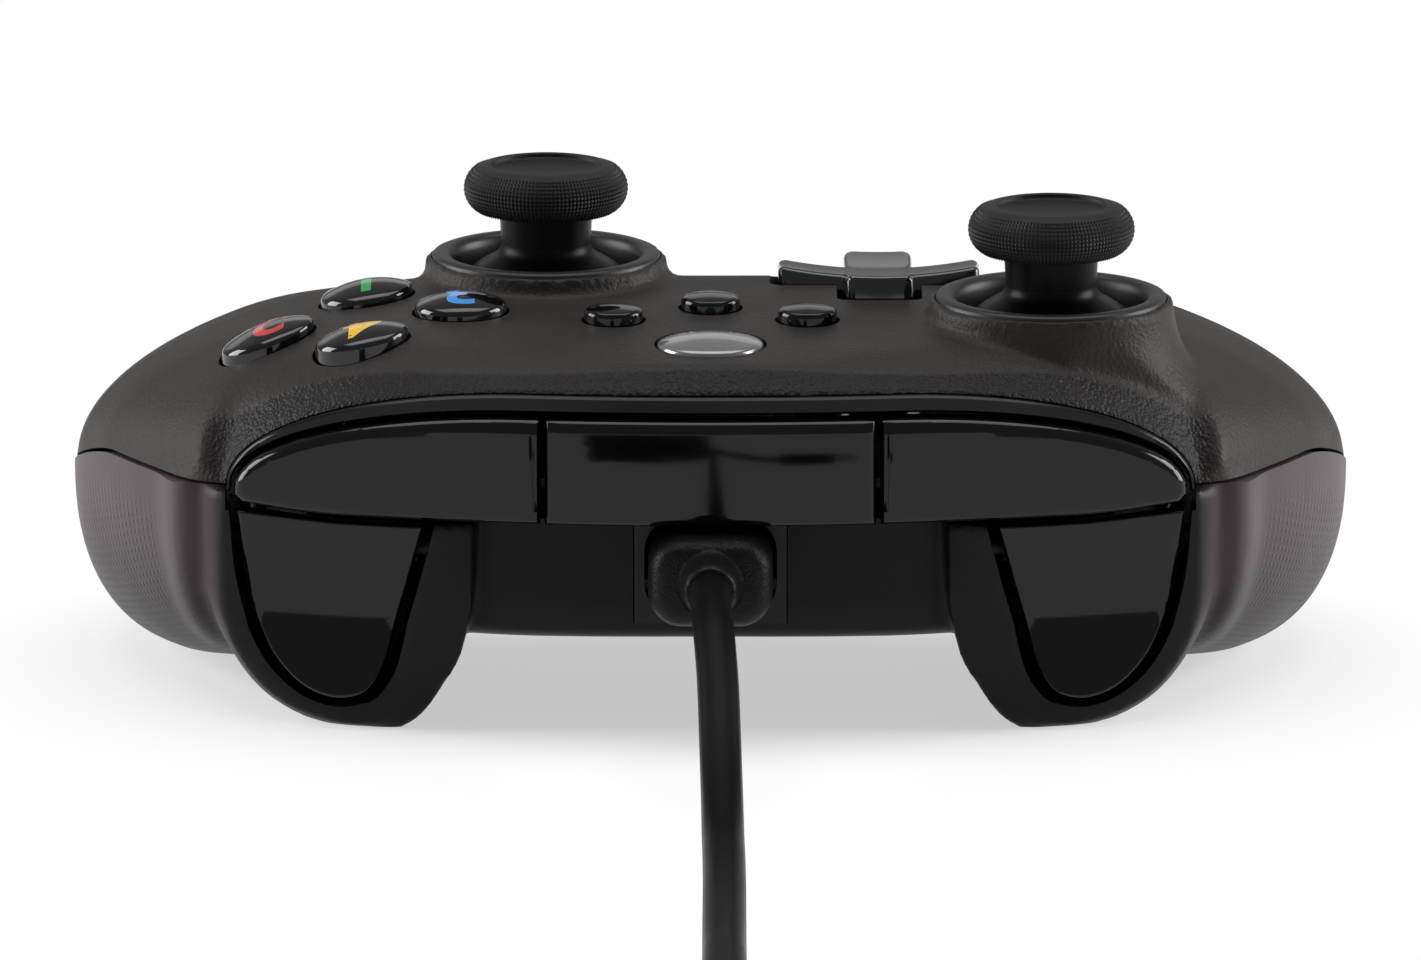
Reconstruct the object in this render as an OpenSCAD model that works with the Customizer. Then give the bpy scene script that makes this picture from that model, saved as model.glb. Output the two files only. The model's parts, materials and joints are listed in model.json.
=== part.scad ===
// Wired gamepad: two-shell body, thumbsticks, direction pad, face buttons,
// shoulder buttons, triggers, rumble motors and a plug-in cable.
// Millimetres. X runs across the grips, Y from the shoulder buttons to the grip tips, Z is up.
// The origin is on the table, under the middle of the body.
// A distance called q is measured back from the front of the shoulder buttons.

/* [Body] */
// Width across the grips
body_w = 154; // [148:1:162]
// Depth from the shoulder buttons to the grip tips
body_d = 102; // [99:1:108]
// Wall thickness of the shells
wall = 2.2; // [1.8:0.1:2.6]
// Height of the deck at its front crease
deck_z0 = 43.9; // [43:0.1:46]
// Forward slope of the deck and of everything mounted on it, in degrees
tilt = 3; // [2:0.5:4]
// Height of the seam between the shells at the front
seam_z0 = 28; // [27:0.1:29]
// Open gap along the seam
seam_gap = 0.3; // [0.2:0.05:0.5]
// Radius of the front in plan
front_r = 135; // [120:1:160]
// Width of the sloping lip above the shoulder buttons
lip_w = 4; // [3:0.1:5]
// Height of the belly above the table
belly_z = 10; // [9.4:0.1:10.6]
// Crown of the deck above its sloping plane
crown = 1.15; // [0.8:0.05:1.4]

/* [Front band] */
// Half width of the front arch that frames the shoulder buttons
arch_half_w = 57.4; // [56:0.1:58.5]
// Half width of the flat top of the front arch
arch_flat = 22; // [18:0.5:26]
// Rise of the front arch above the seam
arch_h = 13; // [12:0.1:14]
// Setback of the arch behind the shoulder buttons
lip_q = 2.5; // [2:0.1:3]
// Half width of the centre cover
cover_half_w = 19.4; // [17:0.1:21]
// Bottom of the shoulder buttons
bumper_z = 25.6; // [25:0.1:26]
// Thickness of the shoulder buttons
bumper_t = 4.2; // [3.5:0.1:4.6]
// Width of the dark trim between the arch and the shoulder buttons
bezel_w = 2.4; // [2:0.1:2.8]
// Free gap round the shoulder buttons
bumper_gap = 0.5; // [0.4:0.05:0.7]

/* [Triggers] */
// Free gap between a trigger and its opening
trigger_gap = 1.2; // [1:0.1:1.4]
// Thickness of the trigger skin
trigger_t = 2.4; // [2:0.1:3]
// Radius of the trigger pivot pin
trigger_pin_r = 1.2; // [1:0.05:1.4]
// Sideways place of the middle of a trigger
trigger_x = 45; // [44.5:0.1:45.5]
// Distance of the trigger pivot behind the front curve
trigger_pivot_q = 7.4; // [7:0.1:7.8]
// Height of the trigger pivot
trigger_pivot_z = 21.5; // [21:0.1:22]

/* [Thumbsticks] */
// Sideways place of the left stick
left_stick_x = 40.4; // [40:0.1:41]
// Distance of the left stick behind the front
left_stick_q = 29; // [28.6:0.1:29.6]
// Sideways place of the right stick
right_stick_x = -19.8; // [-21:0.1:-19]
// Distance of the right stick behind the front
right_stick_q = 53; // [52:0.1:53.4]
// Height of the collars above the deck
collar_h = 3.1; // [2.9:0.1:3.3]
// Outer radius of the collar rims
collar_r = 14.5; // [14.3:0.1:15]
// Inner radius of the trim ring in a collar
ring_in_r = 11.2; // [11.2:0.1:11.6]
// Outer radius of the trim ring in a collar
ring_out_r = 13.7; // [13.5:0.1:13.9]
// Radius of the stick caps
cap_r = 9.7; // [9:0.1:10]
// Height of the top of a stick cap above the deck
cap_top_h = 14.4; // [14:0.1:15]
// Radius of the stick stems
stem_r = 5.4; // [5:0.1:5.5]
// Depth of the stick pivots below the deck
stick_pivot = 9.5; // [9.4:0.1:9.7]
// Radius of the stick dome about its pivot
dome_r = 14.3; // [14.1:0.1:14.4]
// Half width of the frame that carries a stick
stick_frame = 7.6; // [7.4:0.1:7.8]
// Wall of the frame that carries a stick
stick_frame_t = 1.3; // [1.2:0.1:1.4]
// Radius of the pins that carry a stick
stick_pin_r = 0.9; // [0.8:0.05:1]

/* [Face controls] */
// Sideways place of the middle of the four face buttons
face_x = -41.2; // [-42:0.1:-40]
// Distance of the middle of the face buttons behind the front
face_q = 32.2; // [31.8:0.1:32.6]
// Distance of each face button from their middle
face_pitch = 11.5; // [11.4:0.1:12.5]
// Radius of a face button
face_r = 5.5; // [5:0.1:5.5]
// Travel of a face button
face_travel = 1.3; // [1:0.1:1.5]
// Height of a face button above the deck round it
face_h = 2.2; // [2:0.1:2.6]
// Sideways place of the direction pad
dpad_x = 20.2; // [19.5:0.1:21]
// Distance of the direction pad behind the front
dpad_q = 50.6; // [50:0.1:51]
// Length across the direction pad
dpad_l = 24.2; // [22:0.1:25]
// Width of an arm of the direction pad
dpad_arm_w = 8.2; // [7:0.1:9]
// Height of the direction pad's arm tips above the deck plane
dpad_h = 3.8; // [3.4:0.1:4]
// Free gap round the direction pad
dpad_gap = 1; // [0.9:0.1:1.2]
// Depth of the direction pad's pivots below the deck
dpad_pivot = 6; // [5.8:0.1:6.4]
// Distance of the home button behind the front
home_q = 16; // [15.5:0.1:16.5]
// Radius of the home button
home_r = 6.3; // [5.5:0.1:6.6]
// Sideways place of the two small round buttons
small_x = 11.5; // [11:0.1:12.5]
// Distance of the two small round buttons behind the front
small_q = 27.6; // [27:0.1:28.5]
// Distance of the share button behind the front
share_q = 33.6; // [33:0.1:34.5]
// Radius of the small buttons
small_r = 3.5; // [3:0.1:3.6]
// Travel of the small buttons
small_travel = 0.7; // [0.5:0.1:0.9]
// Free gap round every button
button_gap = 0.35; // [0.3:0.05:0.45]

/* [Inside] */
// Depth of the top of the circuit board below the deck
board_depth = 16.4; // [16:0.1:17]
// Thickness of the circuit board
board_t = 1.6; // [1.2:0.1:1.8]
// Radius of a rumble motor
motor_r = 8; // [7:0.1:8.5]
// Length of a rumble motor
motor_l = 15; // [12:0.5:16]
// Radius of the headset socket's bore
jack_r = 1.8; // [1.7:0.05:1.9]
// Length of the headset socket's bore
jack_l = 12; // [10:0.5:13]
// Running clearance of every pin in its hole
pin_play = 0.05; // [0.03:0.01:0.08]

/* [Cable] */
// Diameter of the cable
cord_d = 4.8; // [4.4:0.1:5]
// Spacing of the turns of the coil
coil_pitch = 5.5; // [5.5:0.1:6]
// Turns in the coil
coil_turns = 14.75; // [10.75:1:15.75]
// Radius of the middle of the coil's windings
coil_mid_r = 28.8; // [27:0.1:30]
// Thickness of the ties round the coil
tie_t = 0.9; // [0.6:0.1:1]

/* [Hidden] */
$fn = 64;
half_w = body_w / 2;
arch_z0 = seam_z0;
crease_q = lip_q + lip_w;
back_seam_start = 37;
far_away = 300;
eps = 0.01;

function yq(q) = q - body_d / 2;
function bulge(x) = front_r - sqrt(front_r * front_r - x * x);
// Quarter ellipse that rises from 0 at u = 0 to 1 at u = 1
function roll(u) = sqrt(1 - pow(1 - min(1, max(0, u)), 2));
function mix(a, b, t) = a + (b - a) * t;
// Entry of a list, or the mean of two for a row halfway between them
function pick(list, row) = mix(list[floor(row)], list[min(len(list) - 1, ceil(row))], row - floor(row));
function eased(t) = let (u = min(1, max(0, t))) u * u * (3 - 2 * u);

// Body surfaces
seam_slope = 0.27;
seam_bend = 8;
grip_droop = 0.016;
grip_start_q = 60;
side_roll_front = 30;
side_roll_grow = 0.7;
corner_drop = 1.6;
corner_drop_l = 5;
crown_l = 45;
rear_roll = 24;
tip_roll = 24;
function seam_z(q) = seam_z0 - seam_slope * (norm([max(0, q - back_seam_start), seam_bend]) - seam_bend);
function deck_z(q) = deck_z0 + (q - crease_q) * tan(tilt);
function crest_z(q) = deck_z(q) + crown * sin(90 * (q - crease_q) / crown_l)
    - grip_droop * pow(max(0, q - grip_start_q), 2);
function side_roll(q) = min(60, side_roll_front + side_roll_grow * max(0, q - 17));

// Outline of the body: the outer edge and the inner edge, paired row by row from the middle to the tip.
// The front rows follow the arch, and the side rows are shares of the half width and of the depth.
arch_angles = [25, 45, 62, 77, 90];
function arch_z(x) = abs(x) <= arch_flat ? arch_z0 + arch_h
    : arch_z0 + arch_h * sqrt(max(0, 1 - pow((abs(x) - arch_flat) / (arch_half_w - arch_flat), 2)));
arch_x = concat([0, arch_flat / 2, arch_flat],
    [for (a = arch_angles) arch_flat + (arch_half_w - arch_flat) * sin(a)]);
front_edge = [for (x = arch_x) [x, lip_q + bulge(x)]];
corner_edge = [arch_half_w + 3.8, lip_q + bulge(arch_half_w) + 2.6];
side_shares = [[66, 26.5], [72.4, 41], [76.3, 55], [77, 63], [76.3, 73], [73.6, 84.5],
    [69.2, 93.4], [65, 98.6], [61.4, 101.9]];
inner_shares = [[0, 72], [6, 72], [11.5, 72], [17, 72.1], [21.5, 72.4], [25, 72.8], [28, 73.4], [30.3, 74],
    [32.2, 74.6], [34.4, 75.8], [37, 77.7], [39.6, 80.4], [41.5, 83], [44.2, 87], [48, 92.4],
    [52.4, 97.1], [57, 100.4], [60.7, 102]];
wide_scale = half_w / max([for (p = side_shares) p[0]]);
deep_scale = body_d / inner_shares[len(inner_shares) - 1][1];
side_edge = [for (p = side_shares) [p[0] * wide_scale, p[1] * deep_scale]];
inner_edge = [for (p = inner_shares) [p[0] * wide_scale, p[1] * deep_scale]];

// The rear controls keep their place in the depth of the body
right_stick_at = right_stick_q * deep_scale;
dpad_at = dpad_q * deep_scale;
outer_edge = concat(front_edge, [corner_edge], side_edge);
front_rows = len(front_edge);
row_count = len(outer_edge);
side_table = concat([[0, corner_edge[0] + 1], [corner_edge[1], corner_edge[0]]],
    [for (p = side_edge) [p[1], p[0]]]);
function side_x(q) = lookup(q, side_table);

// Upper surface of the body at a place on the deck, before the inner edge rolls over
function upper_z(x, q) = seam_z(q) + (crest_z(q) - seam_z(q)) * roll((side_x(q) - abs(x)) / side_roll(q));

// Steps across a section: one at the lip, the rest closer together towards both edges
across = 13;
function lip_w_in(length) = min(lip_w, length / 6);
function step_at(k, length) = k == 0 ? 0 : k == 1 ? 0.25 * lip_w_in(length)
    : lip_w_in(length) + (length - lip_w_in(length)) * (1 - cos(180 * (k - 2) / (across - 2))) / 2;

// One section of the upper body. inset moves it inwards for the inner side of the wall.
function upper_section(row, inset) =
    let (a = pick(outer_edge, row), b = pick(inner_edge, row), dir = (b - a) / norm(b - a),
        start = a + dir * inset, length = max(0.4, norm(b - a) - 2 * inset),
        lip = lip_w_in(length),
        z_a = row < front_rows ? arch_z(a[0]) : seam_z(a[1]),
        at_lip = start + dir * lip)
    [for (k = [0 : across])
        let (s = step_at(k, length), p = start + dir * s,
            z_rim = mix(z_a, seam_z(b[1]), s / length),
            rear = roll((length - s) / min(rear_roll, length / 2)),
            fall = row < front_rows ? corner_drop * eased(a[0] / 32) : 0,
            z_free = upper_z(p[0], p[1]) - inset - fall * pow(max(0, 1 - (s - lip) / corner_drop_l), 2),
            z_lip = mix(z_a, upper_z(at_lip[0], at_lip[1]) - fall, s / lip) - inset,
            z_top = row < front_rows && s < lip ? z_lip : z_free,
            z = z_rim + max(0, z_top - z_rim) * rear)
        [p[0], yq(p[1]), max(z, z_rim)]];

function backwards(loop) = [for (i = [len(loop) - 1 : -1 : 0]) loop[i]];
function mirrored(loop) = [for (p = loop) [-p[0], p[1], p[2]]];
// All the sections from the left tip to the right tip
function whole(sections) = concat(
    [for (i = [len(sections) - 1 : -1 : 1]) mirrored(sections[i])], sections);
function closed_below(loop, drop) = concat(loop,
    [[loop[len(loop) - 1][0], loop[len(loop) - 1][1], loop[len(loop) - 1][2] - drop],
    [loop[0][0], loop[0][1], loop[0][2] - drop]]);

// Lower surface of the body
panel_q = 9;
lower_front = [[0, panel_q], [arch_flat / 2, panel_q], [arch_flat, panel_q + 0.3], [36, 12.5], [46.5, 14.6],
    [53, 16], [57.4, 17.2], [60.4, 18.2]];
lower_edge = concat(lower_front, [corner_edge], side_edge);
lower_rise = [0, 0, 0, 0.2, 1, 2, 2.6, 2.6];
belly_drop = [0, 0, 0, 0.2, 0.7, 1.6, 2.8, 4.1, 5.7, 8, 9.8, 10.5, 10.6, 10.6, 10.3, 9.5, 8.3, 7.1];
boxiness = [12, 12, 11, 8, 6, 4.6, 3.7, 3.3, 3, 2.7, 2.5, 2.4, 2.35, 2.3, 2.2, 2.1, 2, 2];
panel_top_z = bumper_z - 0.4;
function lower_section(row, inset) =
    let (a = pick(lower_edge, row), b = pick(inner_edge, row), dir = (b - a) / norm(b - a),
        start = a + dir * inset, length = max(0.4, norm(b - a) - 2 * inset),
        z_a = row < front_rows ? min(seam_z(a[1]), panel_top_z + pick(lower_rise, row)) : seam_z(a[1]),
        floor_z = belly_z - pick(belly_drop, row) + inset, p_row = pick(boxiness, row))
    [for (k = [0 : across])
        let (s = length * (1 - cos(180 * k / across)) / 2, t = s / length, p = start + dir * s,
            z_rim = mix(z_a, seam_z(b[1]), t),
            depth = pow(1 - pow(abs(2 * t - 1), p_row), 1 / p_row),
            tip = roll((body_d - p[1]) / tip_roll))
        [p[0], yq(p[1]), z_rim - max(0, z_rim - floor_z) * depth * tip]];
function closed_above(loop, rise) = concat(loop,
    [[loop[len(loop) - 1][0], loop[len(loop) - 1][1], loop[len(loop) - 1][2] + rise],
    [loop[0][0], loop[0][1], loop[0][2] + rise]]);

// Sections of the inner side of a shell, which stop short of the tips
hollow_rows = row_count - 3;
boss_sink = 0.6;
// They stand halfway between the outer side's sections, so that no edges of the two sides meet
function both_sides(sections) = concat(
    [for (i = [len(sections) - 1 : -1 : 0]) mirrored(sections[i])], sections);
function upper_loops(inset, drop) = both_sides([for (r = [0.5 : hollow_rows])
    backwards(closed_below(upper_section(r, inset), drop))]);
function lower_loops(inset, rise) = both_sides([for (r = [0.5 : hollow_rows])
    closed_above(lower_section(r, inset), rise)]);

function centre_of(loop) = [for (i = [0 : 2]) [for (p = loop) p[i]] * [for (p = loop) 1] / len(loop)];

// Solid through a row of closed loops with the same number of points
module loft(loops) {
    n = len(loops[0]);
    m = len(loops);
    points = concat([for (loop = loops) each loop], [centre_of(loops[0]), centre_of(loops[m - 1])]);
    sides = [for (i = [0 : m - 2]) for (j = [0 : n - 1]) let (k = (j + 1) % n)
        each [[i * n + j, (i + 1) * n + j, (i + 1) * n + k], [i * n + j, (i + 1) * n + k, i * n + k]]];
    first_cap = [for (j = [0 : n - 1]) [m * n, j, (j + 1) % n]];
    last_cap = [for (j = [0 : n - 1]) [m * n + 1, (m - 1) * n + (j + 1) % n, (m - 1) * n + j]];
    polyhedron(points, concat(sides, first_cap, last_cap));
}

// Placing
module on_deck(x, q) translate([x, yq(q), deck_z(q)]) rotate([tilt, 0, 0]) children();
module drawn_in_front(q0, q1)
    translate([0, yq(q1), 0]) rotate([90, 0, 0]) linear_extrude(q1 - q0) children();
module front_band(near, far)
    translate([0, yq(front_r), -50]) difference() {
        cylinder(r = front_r - near, h = 150, $fn = 240);
        translate([0, 0, -1]) cylinder(r = front_r - far, h = 152, $fn = 240);
    }
module on_arc()
    translate([trigger_x, yq(bulge(trigger_x)), 0]) rotate([0, 0, asin(trigger_x / front_r)]) children();
module along_x(x0, x1, r) translate([x0, 0, 0]) rotate([0, 90, 0]) cylinder(r = r, h = x1 - x0);
module along_y(y0, y1, r) translate([0, y0, 0]) rotate([-90, 0, 0]) cylinder(r = r, h = y1 - y0);
module tube_of(r_out, r_in, h)
    difference() { cylinder(r = r_out, h = h); translate([0, 0, -1]) cylinder(r = r_in, h = h + 2); }
module flip() mirror([1, 0, 0]) children();
// Moulded post that narrows a little towards its top
module post(r, h) rotate([0, 0, 7]) hull() {
    cylinder(r = r + 0.01 * h, h = eps, $fn = 16);
    translate([0, 0, h - eps]) cylinder(r = r, h = eps, $fn = 16);
}

// Height of the skin above or below the deck plane at a place
function skin_h(x, q) = upper_z(x, q) - deck_z(q);
// Slope of the skin across the body at a place, in degrees
function skin_lean(x, q) = atan(upper_z(x + 1, q) / 2 - upper_z(x - 1, q) / 2);

// Front outlines
function arch_side(end_in, top_in) = [for (a = [90 : -7.5 : 0])
    [arch_flat + (arch_half_w - end_in - arch_flat) * sin(a), arch_z0 + (arch_h - top_in) * cos(a)]];
function flipped(list) = [for (i = [len(list) - 1 : -1 : 0]) [-list[i][0], list[i][1]]];
function arch_outline(end_in, top_in, low_z) = concat([[arch_half_w - end_in, low_z]],
    arch_side(end_in, top_in), flipped(arch_side(end_in, top_in)), [[end_in - arch_half_w, low_z]]);
bezel_gap = 0.3;
bezel_leg = 0.5;
bezel_far = 6;
bumper_top_in = bezel_w + bumper_gap;
bumper_end_in = bezel_gap + bezel_leg + bumper_gap;
bumper_leg_drop = 0.7;
bumper_outline = concat(
    [[cover_half_w + bumper_gap, bumper_z], [44, bumper_z], [49, bumper_z + 0.2],
    [arch_half_w - bumper_end_in - 0.8, bumper_z + 0.8],
    [arch_half_w - bumper_end_in, arch_z0 - bumper_leg_drop]],
    arch_side(bumper_end_in, bumper_top_in),
    [[cover_half_w + bumper_gap, arch_z0 + arch_h - bumper_top_in]]);

// Trigger housings: outline of the rim, then of the crease behind it, then two outlines inside the body
housing_rim = [[57.4, 27.6], [57.8, 20], [57.1, 10.8], [54.6, 6.2], [51, 2.9], [46.3, 1.1], [41, 0.6],
    [39, 1.2], [37.6, 2.9], [36.4, 5.8], [35.4, 8.9], [34, 14], [31.4, 25]];
housing_crease = [[61.2, 27.6], [60.8, 21], [59.6, 14.4], [56.8, 8], [53, 3.3], [47.6, 0.4], [41, -0.3],
    [36.6, -0.2], [34, 1.6], [31.6, 5], [29.6, 8.3], [28.2, 14], [27.6, 25]];
housing_mid = [[62.6, 27.6], [62, 20], [60, 12], [57, 6.6], [53, 3], [47.6, 0.8], [42, 0.2],
    [37.6, 0.6], [35, 2.4], [32.8, 5.6], [31.2, 8.7], [30.2, 14], [29.8, 25]];
housing_back = [[60, 26.5], [59.6, 20], [57.6, 14], [55, 10], [52, 7.4], [48, 6], [44, 5.8],
    [40.6, 6.4], [38.4, 7.8], [36.8, 9.8], [35.8, 12], [35.2, 16], [35.2, 25]];
housing_setback = 1.9;
housing_bevel = 2.3;
function rim_q(x, z) = housing_setback + bulge(x) + 0.03 * (seam_z0 - z);
function housing_loop(list, extra, flat_q) = [for (p = list)
    [p[0], yq(flat_q > 0 ? flat_q : rim_q(p[0], p[1]) + extra), p[1]]];
module housing()
    loft([housing_loop(housing_rim, 0, 0), housing_loop(housing_crease, housing_bevel, 0),
        housing_loop(housing_mid, 0, 31), housing_loop(housing_back, 0, 48)]);

// Outline of a trigger from the front, and its profile from the side
trigger_outline = [[55.6, 25], [54.85, 17.4], [53.5, 12.3], [50.7, 7.5], [46.6, 4.6], [43.3, 4.1],
    [40.7, 5], [39.3, 6.7], [37.2, 13.1], [34.8, 21.6], [34.1, 24.4], [44, 24.4]];
trigger_profile = [[26, 1.5], [22, 2.6], [18, 3.4], [14, 3.5], [10, 2.9], [7, 1.9], [4.5, 0.7], [3, 0.3]];
trigger_relief = 0.5;
barrel_r = trigger_pin_r + pin_play + 1.1;
module trigger_opening() {
    offset(delta = trigger_gap) polygon(trigger_outline);
    translate([0, -trigger_relief]) offset(delta = trigger_gap) polygon(trigger_outline);
}

// Screws that hold the shells: sideways place, distance behind the front, height of the head's seat
screw_r = 1.5;
screw_head_r = 2.7;
screw_head_h = 1.8;
screw_l = 12;
boss_r = 3.3;
screw_places = [[55, 43, 12], [-55, 43, 12], [57, 89, 8], [-57, 89, 8], [0, 45, 17]];
board_posts = [[24, 22], [-24, 22], [27, 58], [-27, 58]];
board_clamps = [[22, 21], [-22, 21]];
function under_board(q) = deck_z(q) - (board_depth + board_t) / cos(tilt) - 0.3;

// Rumble motors
motor_x = 57;
motor_q = 57;
motor_z = 16.5;
motor_end_q = motor_q + motor_l;
weight_gap = 1;
weight_l = 6;
weight_r = 6.4;
shaft_r = 1;

// Socket and plug of the cable
plug_z = 19.4;
plug_w = 14.6;
plug_h = 10.8;
plug_front_q = -3;
plug_back_q = 12.8;
tongue_l = 5.6;
port_half_w = 9.1;
port_low_z = 12.5;
port_gap = 0.15;
plug_gap = 0.5;
tongue_w = 6.8;
tongue_h = 1.8;
socket_wall = 0.45;
usb_board_t = 1.2;
usb_board_z = plug_z - 1.8 - socket_wall - usb_board_t;
socket_gap = 0.15;
socket_q = 13.6;
socket_l = 6;
module plug_slice(grow) {
    w = plug_w / 2 + grow - 4;
    h = plug_h / 2 + grow - 4;
    translate([0, plug_z]) hull() for (x = [-w, w]) for (z = [-h, h]) translate([x, z]) circle(r = 4, $fn = 32);
}

// Headset socket
jack_sunk = 5.2;
jack_q = inner_edge[0][1] - jack_l - jack_sunk;
jack_box_l = jack_l - 3.5;
jack_wall = 0.9;
jack_room = 0.3;
jack_axis_h = 3.2;
function jack_z() = deck_z(jack_q + jack_l) - board_depth / cos(tilt) + jack_axis_h + 0.1;

// Stick collar: the bore steps down to a ledge that carries the trim ring
collar_play = 0.15;
ledge_r = ring_out_r - 0.8;
ledge_h = -0.5;
collar_drop = 8.5;
collar_flare = 5.2;
collar_tube = 2.3;
dome_room = 0.4;
shell_fn = 32;
module collar_flare_solid()
    rotate_extrude($fn = shell_fn) polygon(concat([[ledge_r - 1, -collar_drop]],
        [for (t = [0 : 0.2 : 1]) [collar_r + collar_flare * pow(1 - t, 2), mix(-collar_drop, collar_h, t)]],
        [[ledge_r - 1, collar_h]]));
module stick_well() {
    translate([0, 0, -collar_drop - 4]) cylinder(r = ledge_r, h = 40, $fn = shell_fn);
    translate([0, 0, ledge_h]) cylinder(r = ring_out_r + collar_play, h = 20, $fn = shell_fn);
    intersection() {
        translate([0, 0, -stick_pivot]) sphere(r = dome_r + dome_room, $fn = shell_fn);
        translate([-20, -20, -40 - collar_tube]) cube([40, 40, 40]);
    }
}
stick_places = [[left_stick_x, left_stick_q], [right_stick_x, right_stick_at]];

// Cross of the direction pad, rounded at the corners of its arms
module cross(grow) {
    l = dpad_l / 2 + grow - 1;
    w = dpad_arm_w / 2 + grow - 1;
    hull() for (x = [-l, l]) for (y = [-w, w]) translate([x, y]) circle(r = 1, $fn = 24);
    hull() for (x = [-w, w]) for (y = [-l, l]) translate([x, y]) circle(r = 1, $fn = 24);
}

face_places = [[face_x, face_q + face_pitch], [face_x - face_pitch, face_q],
    [face_x + face_pitch, face_q], [face_x, face_q - face_pitch]];
small_places = [[-small_x, small_q], [small_x, small_q], [0, share_q]];

module button_hole(r) translate([0, 0, -12]) cylinder(r = r + button_gap, h = 30, $fn = shell_fn);
module top_shell($fn = shell_fn) color([0.12, 0.12, 0.125]) difference() {
    union() {
        difference() {
            union() {
                loft(whole([for (r = [0 : row_count - 1]) backwards(upper_section(r, 0))]));
                intersection() {
                    for (p = stick_places) on_deck(p[0], p[1]) collar_flare_solid();
                    translate([0, yq(front_r), 0]) cylinder(r = front_r - lip_q - lip_w, h = 90, $fn = 240);
                }
            }
            loft(upper_loops(wall, 6));
        }
        for (p = stick_places) on_deck(p[0], p[1])
            translate([0, 0, -collar_tube]) cylinder(r = ledge_r + 1.4, h = collar_tube, $fn = shell_fn);
        intersection() {
            loft(upper_loops(boss_sink, 6));
            union() {
                for (p = screw_places) translate([p[0], yq(p[1]), seam_z(p[1]) + seam_gap / 2])
                    post(boss_r, 40);
                for (p = board_clamps) on_deck(p[0], p[1]) translate([0, 0, 0.3 - board_depth])
                    post(1.6, 30);
            }
        }
    }
    intersection() {
        drawn_in_front(-9, 30) polygon(arch_outline(bezel_gap / 2, bezel_gap / 2, arch_z0 - 6));
        front_band(0, bezel_far + bezel_gap);
    }
    for (p = stick_places) on_deck(p[0], p[1]) stick_well();
    for (p = face_places) on_deck(p[0], p[1]) button_hole(face_r);
    for (p = small_places) on_deck(p[0], p[1]) button_hole(small_r);
    on_deck(0, home_q) button_hole(home_r);
    on_deck(dpad_x, dpad_at) translate([0, 0, -12]) linear_extrude(40) cross(dpad_gap);
    for (p = screw_places) translate([p[0], yq(p[1]), p[2] - 1])
        cylinder(r = screw_r + pin_play, h = screw_l - screw_head_h + 1.6);
    jack_pocket();
}

module bottom_shell($fn = shell_fn) color([0.1, 0.1, 0.105]) difference() {
    union() {
        difference() {
            union() {
                loft(whole([for (r = [0 : row_count - 1]) lower_section(r, 0)]));
                housing();
                flip() housing();
            }
            loft(lower_loops(wall, 12));
            for (side = [0, 1]) mirror([side, 0, 0]) drawn_in_front(-9, 30) trigger_opening();
        }
        intersection() {
            loft(lower_loops(boss_sink, 12));
            union() {
                for (p = screw_places) translate([p[0], yq(p[1]), 0])
                    post(boss_r, seam_z(p[1]) - seam_gap / 2);
                for (p = board_posts) translate([p[0], yq(p[1]), 0]) post(2.4, under_board(p[1] - 2.4));
                for (x = [-6, 6]) for (q = [16, 26.5]) translate([x, yq(q), 0]) post(1.5, usb_board_z);
                for (side = [-1, 1]) translate([side * motor_x, yq(motor_q + 2), 0])
                    translate([-9, 0, 0]) cube([18, motor_l - 4, motor_z - 2]);
            }
        }
    }
    drawn_in_front(-9, 19.5) polygon(arch_outline(bezel_gap / 2, 0, panel_top_z - 0.1));
    drawn_in_front(-9, 12.5) translate([-port_half_w, port_low_z]) square([2 * port_half_w, 20]);
    translate([-far_away / 2, -far_away / 2, -40]) cube([far_away, far_away, 40]);
    for (side = [0, 1]) mirror([side, 0, 0]) {
        on_arc() translate([0, trigger_pivot_q, trigger_pivot_z]) rotate([4, 0, 0])
            along_x(-12.4, 17.2, trigger_pin_r + pin_play);
        translate([motor_x, yq(motor_q - 3), motor_z]) along_y(0, motor_l + weight_l + 8, motor_r + 0.25);
    }
    for (p = screw_places) translate([p[0], yq(p[1]), 0]) {
        translate([0, 0, p[2] - 8]) cylinder(r = screw_r + 0.15, h = 60);
        translate([0, 0, -1]) cylinder(r = screw_head_r + 0.2, h = p[2] + 1);
    }
    jack_pocket();
}

module bumper_bezel() color([0.05, 0.05, 0.055]) intersection() {
    drawn_in_front(-2, 30) difference() {
        polygon(arch_outline(bezel_gap, bezel_gap, arch_z0 - 0.6));
        polygon(arch_outline(bezel_gap + bezel_leg, bezel_w, arch_z0 - 2));
    }
    front_band(1.8, bezel_far);
}

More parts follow.
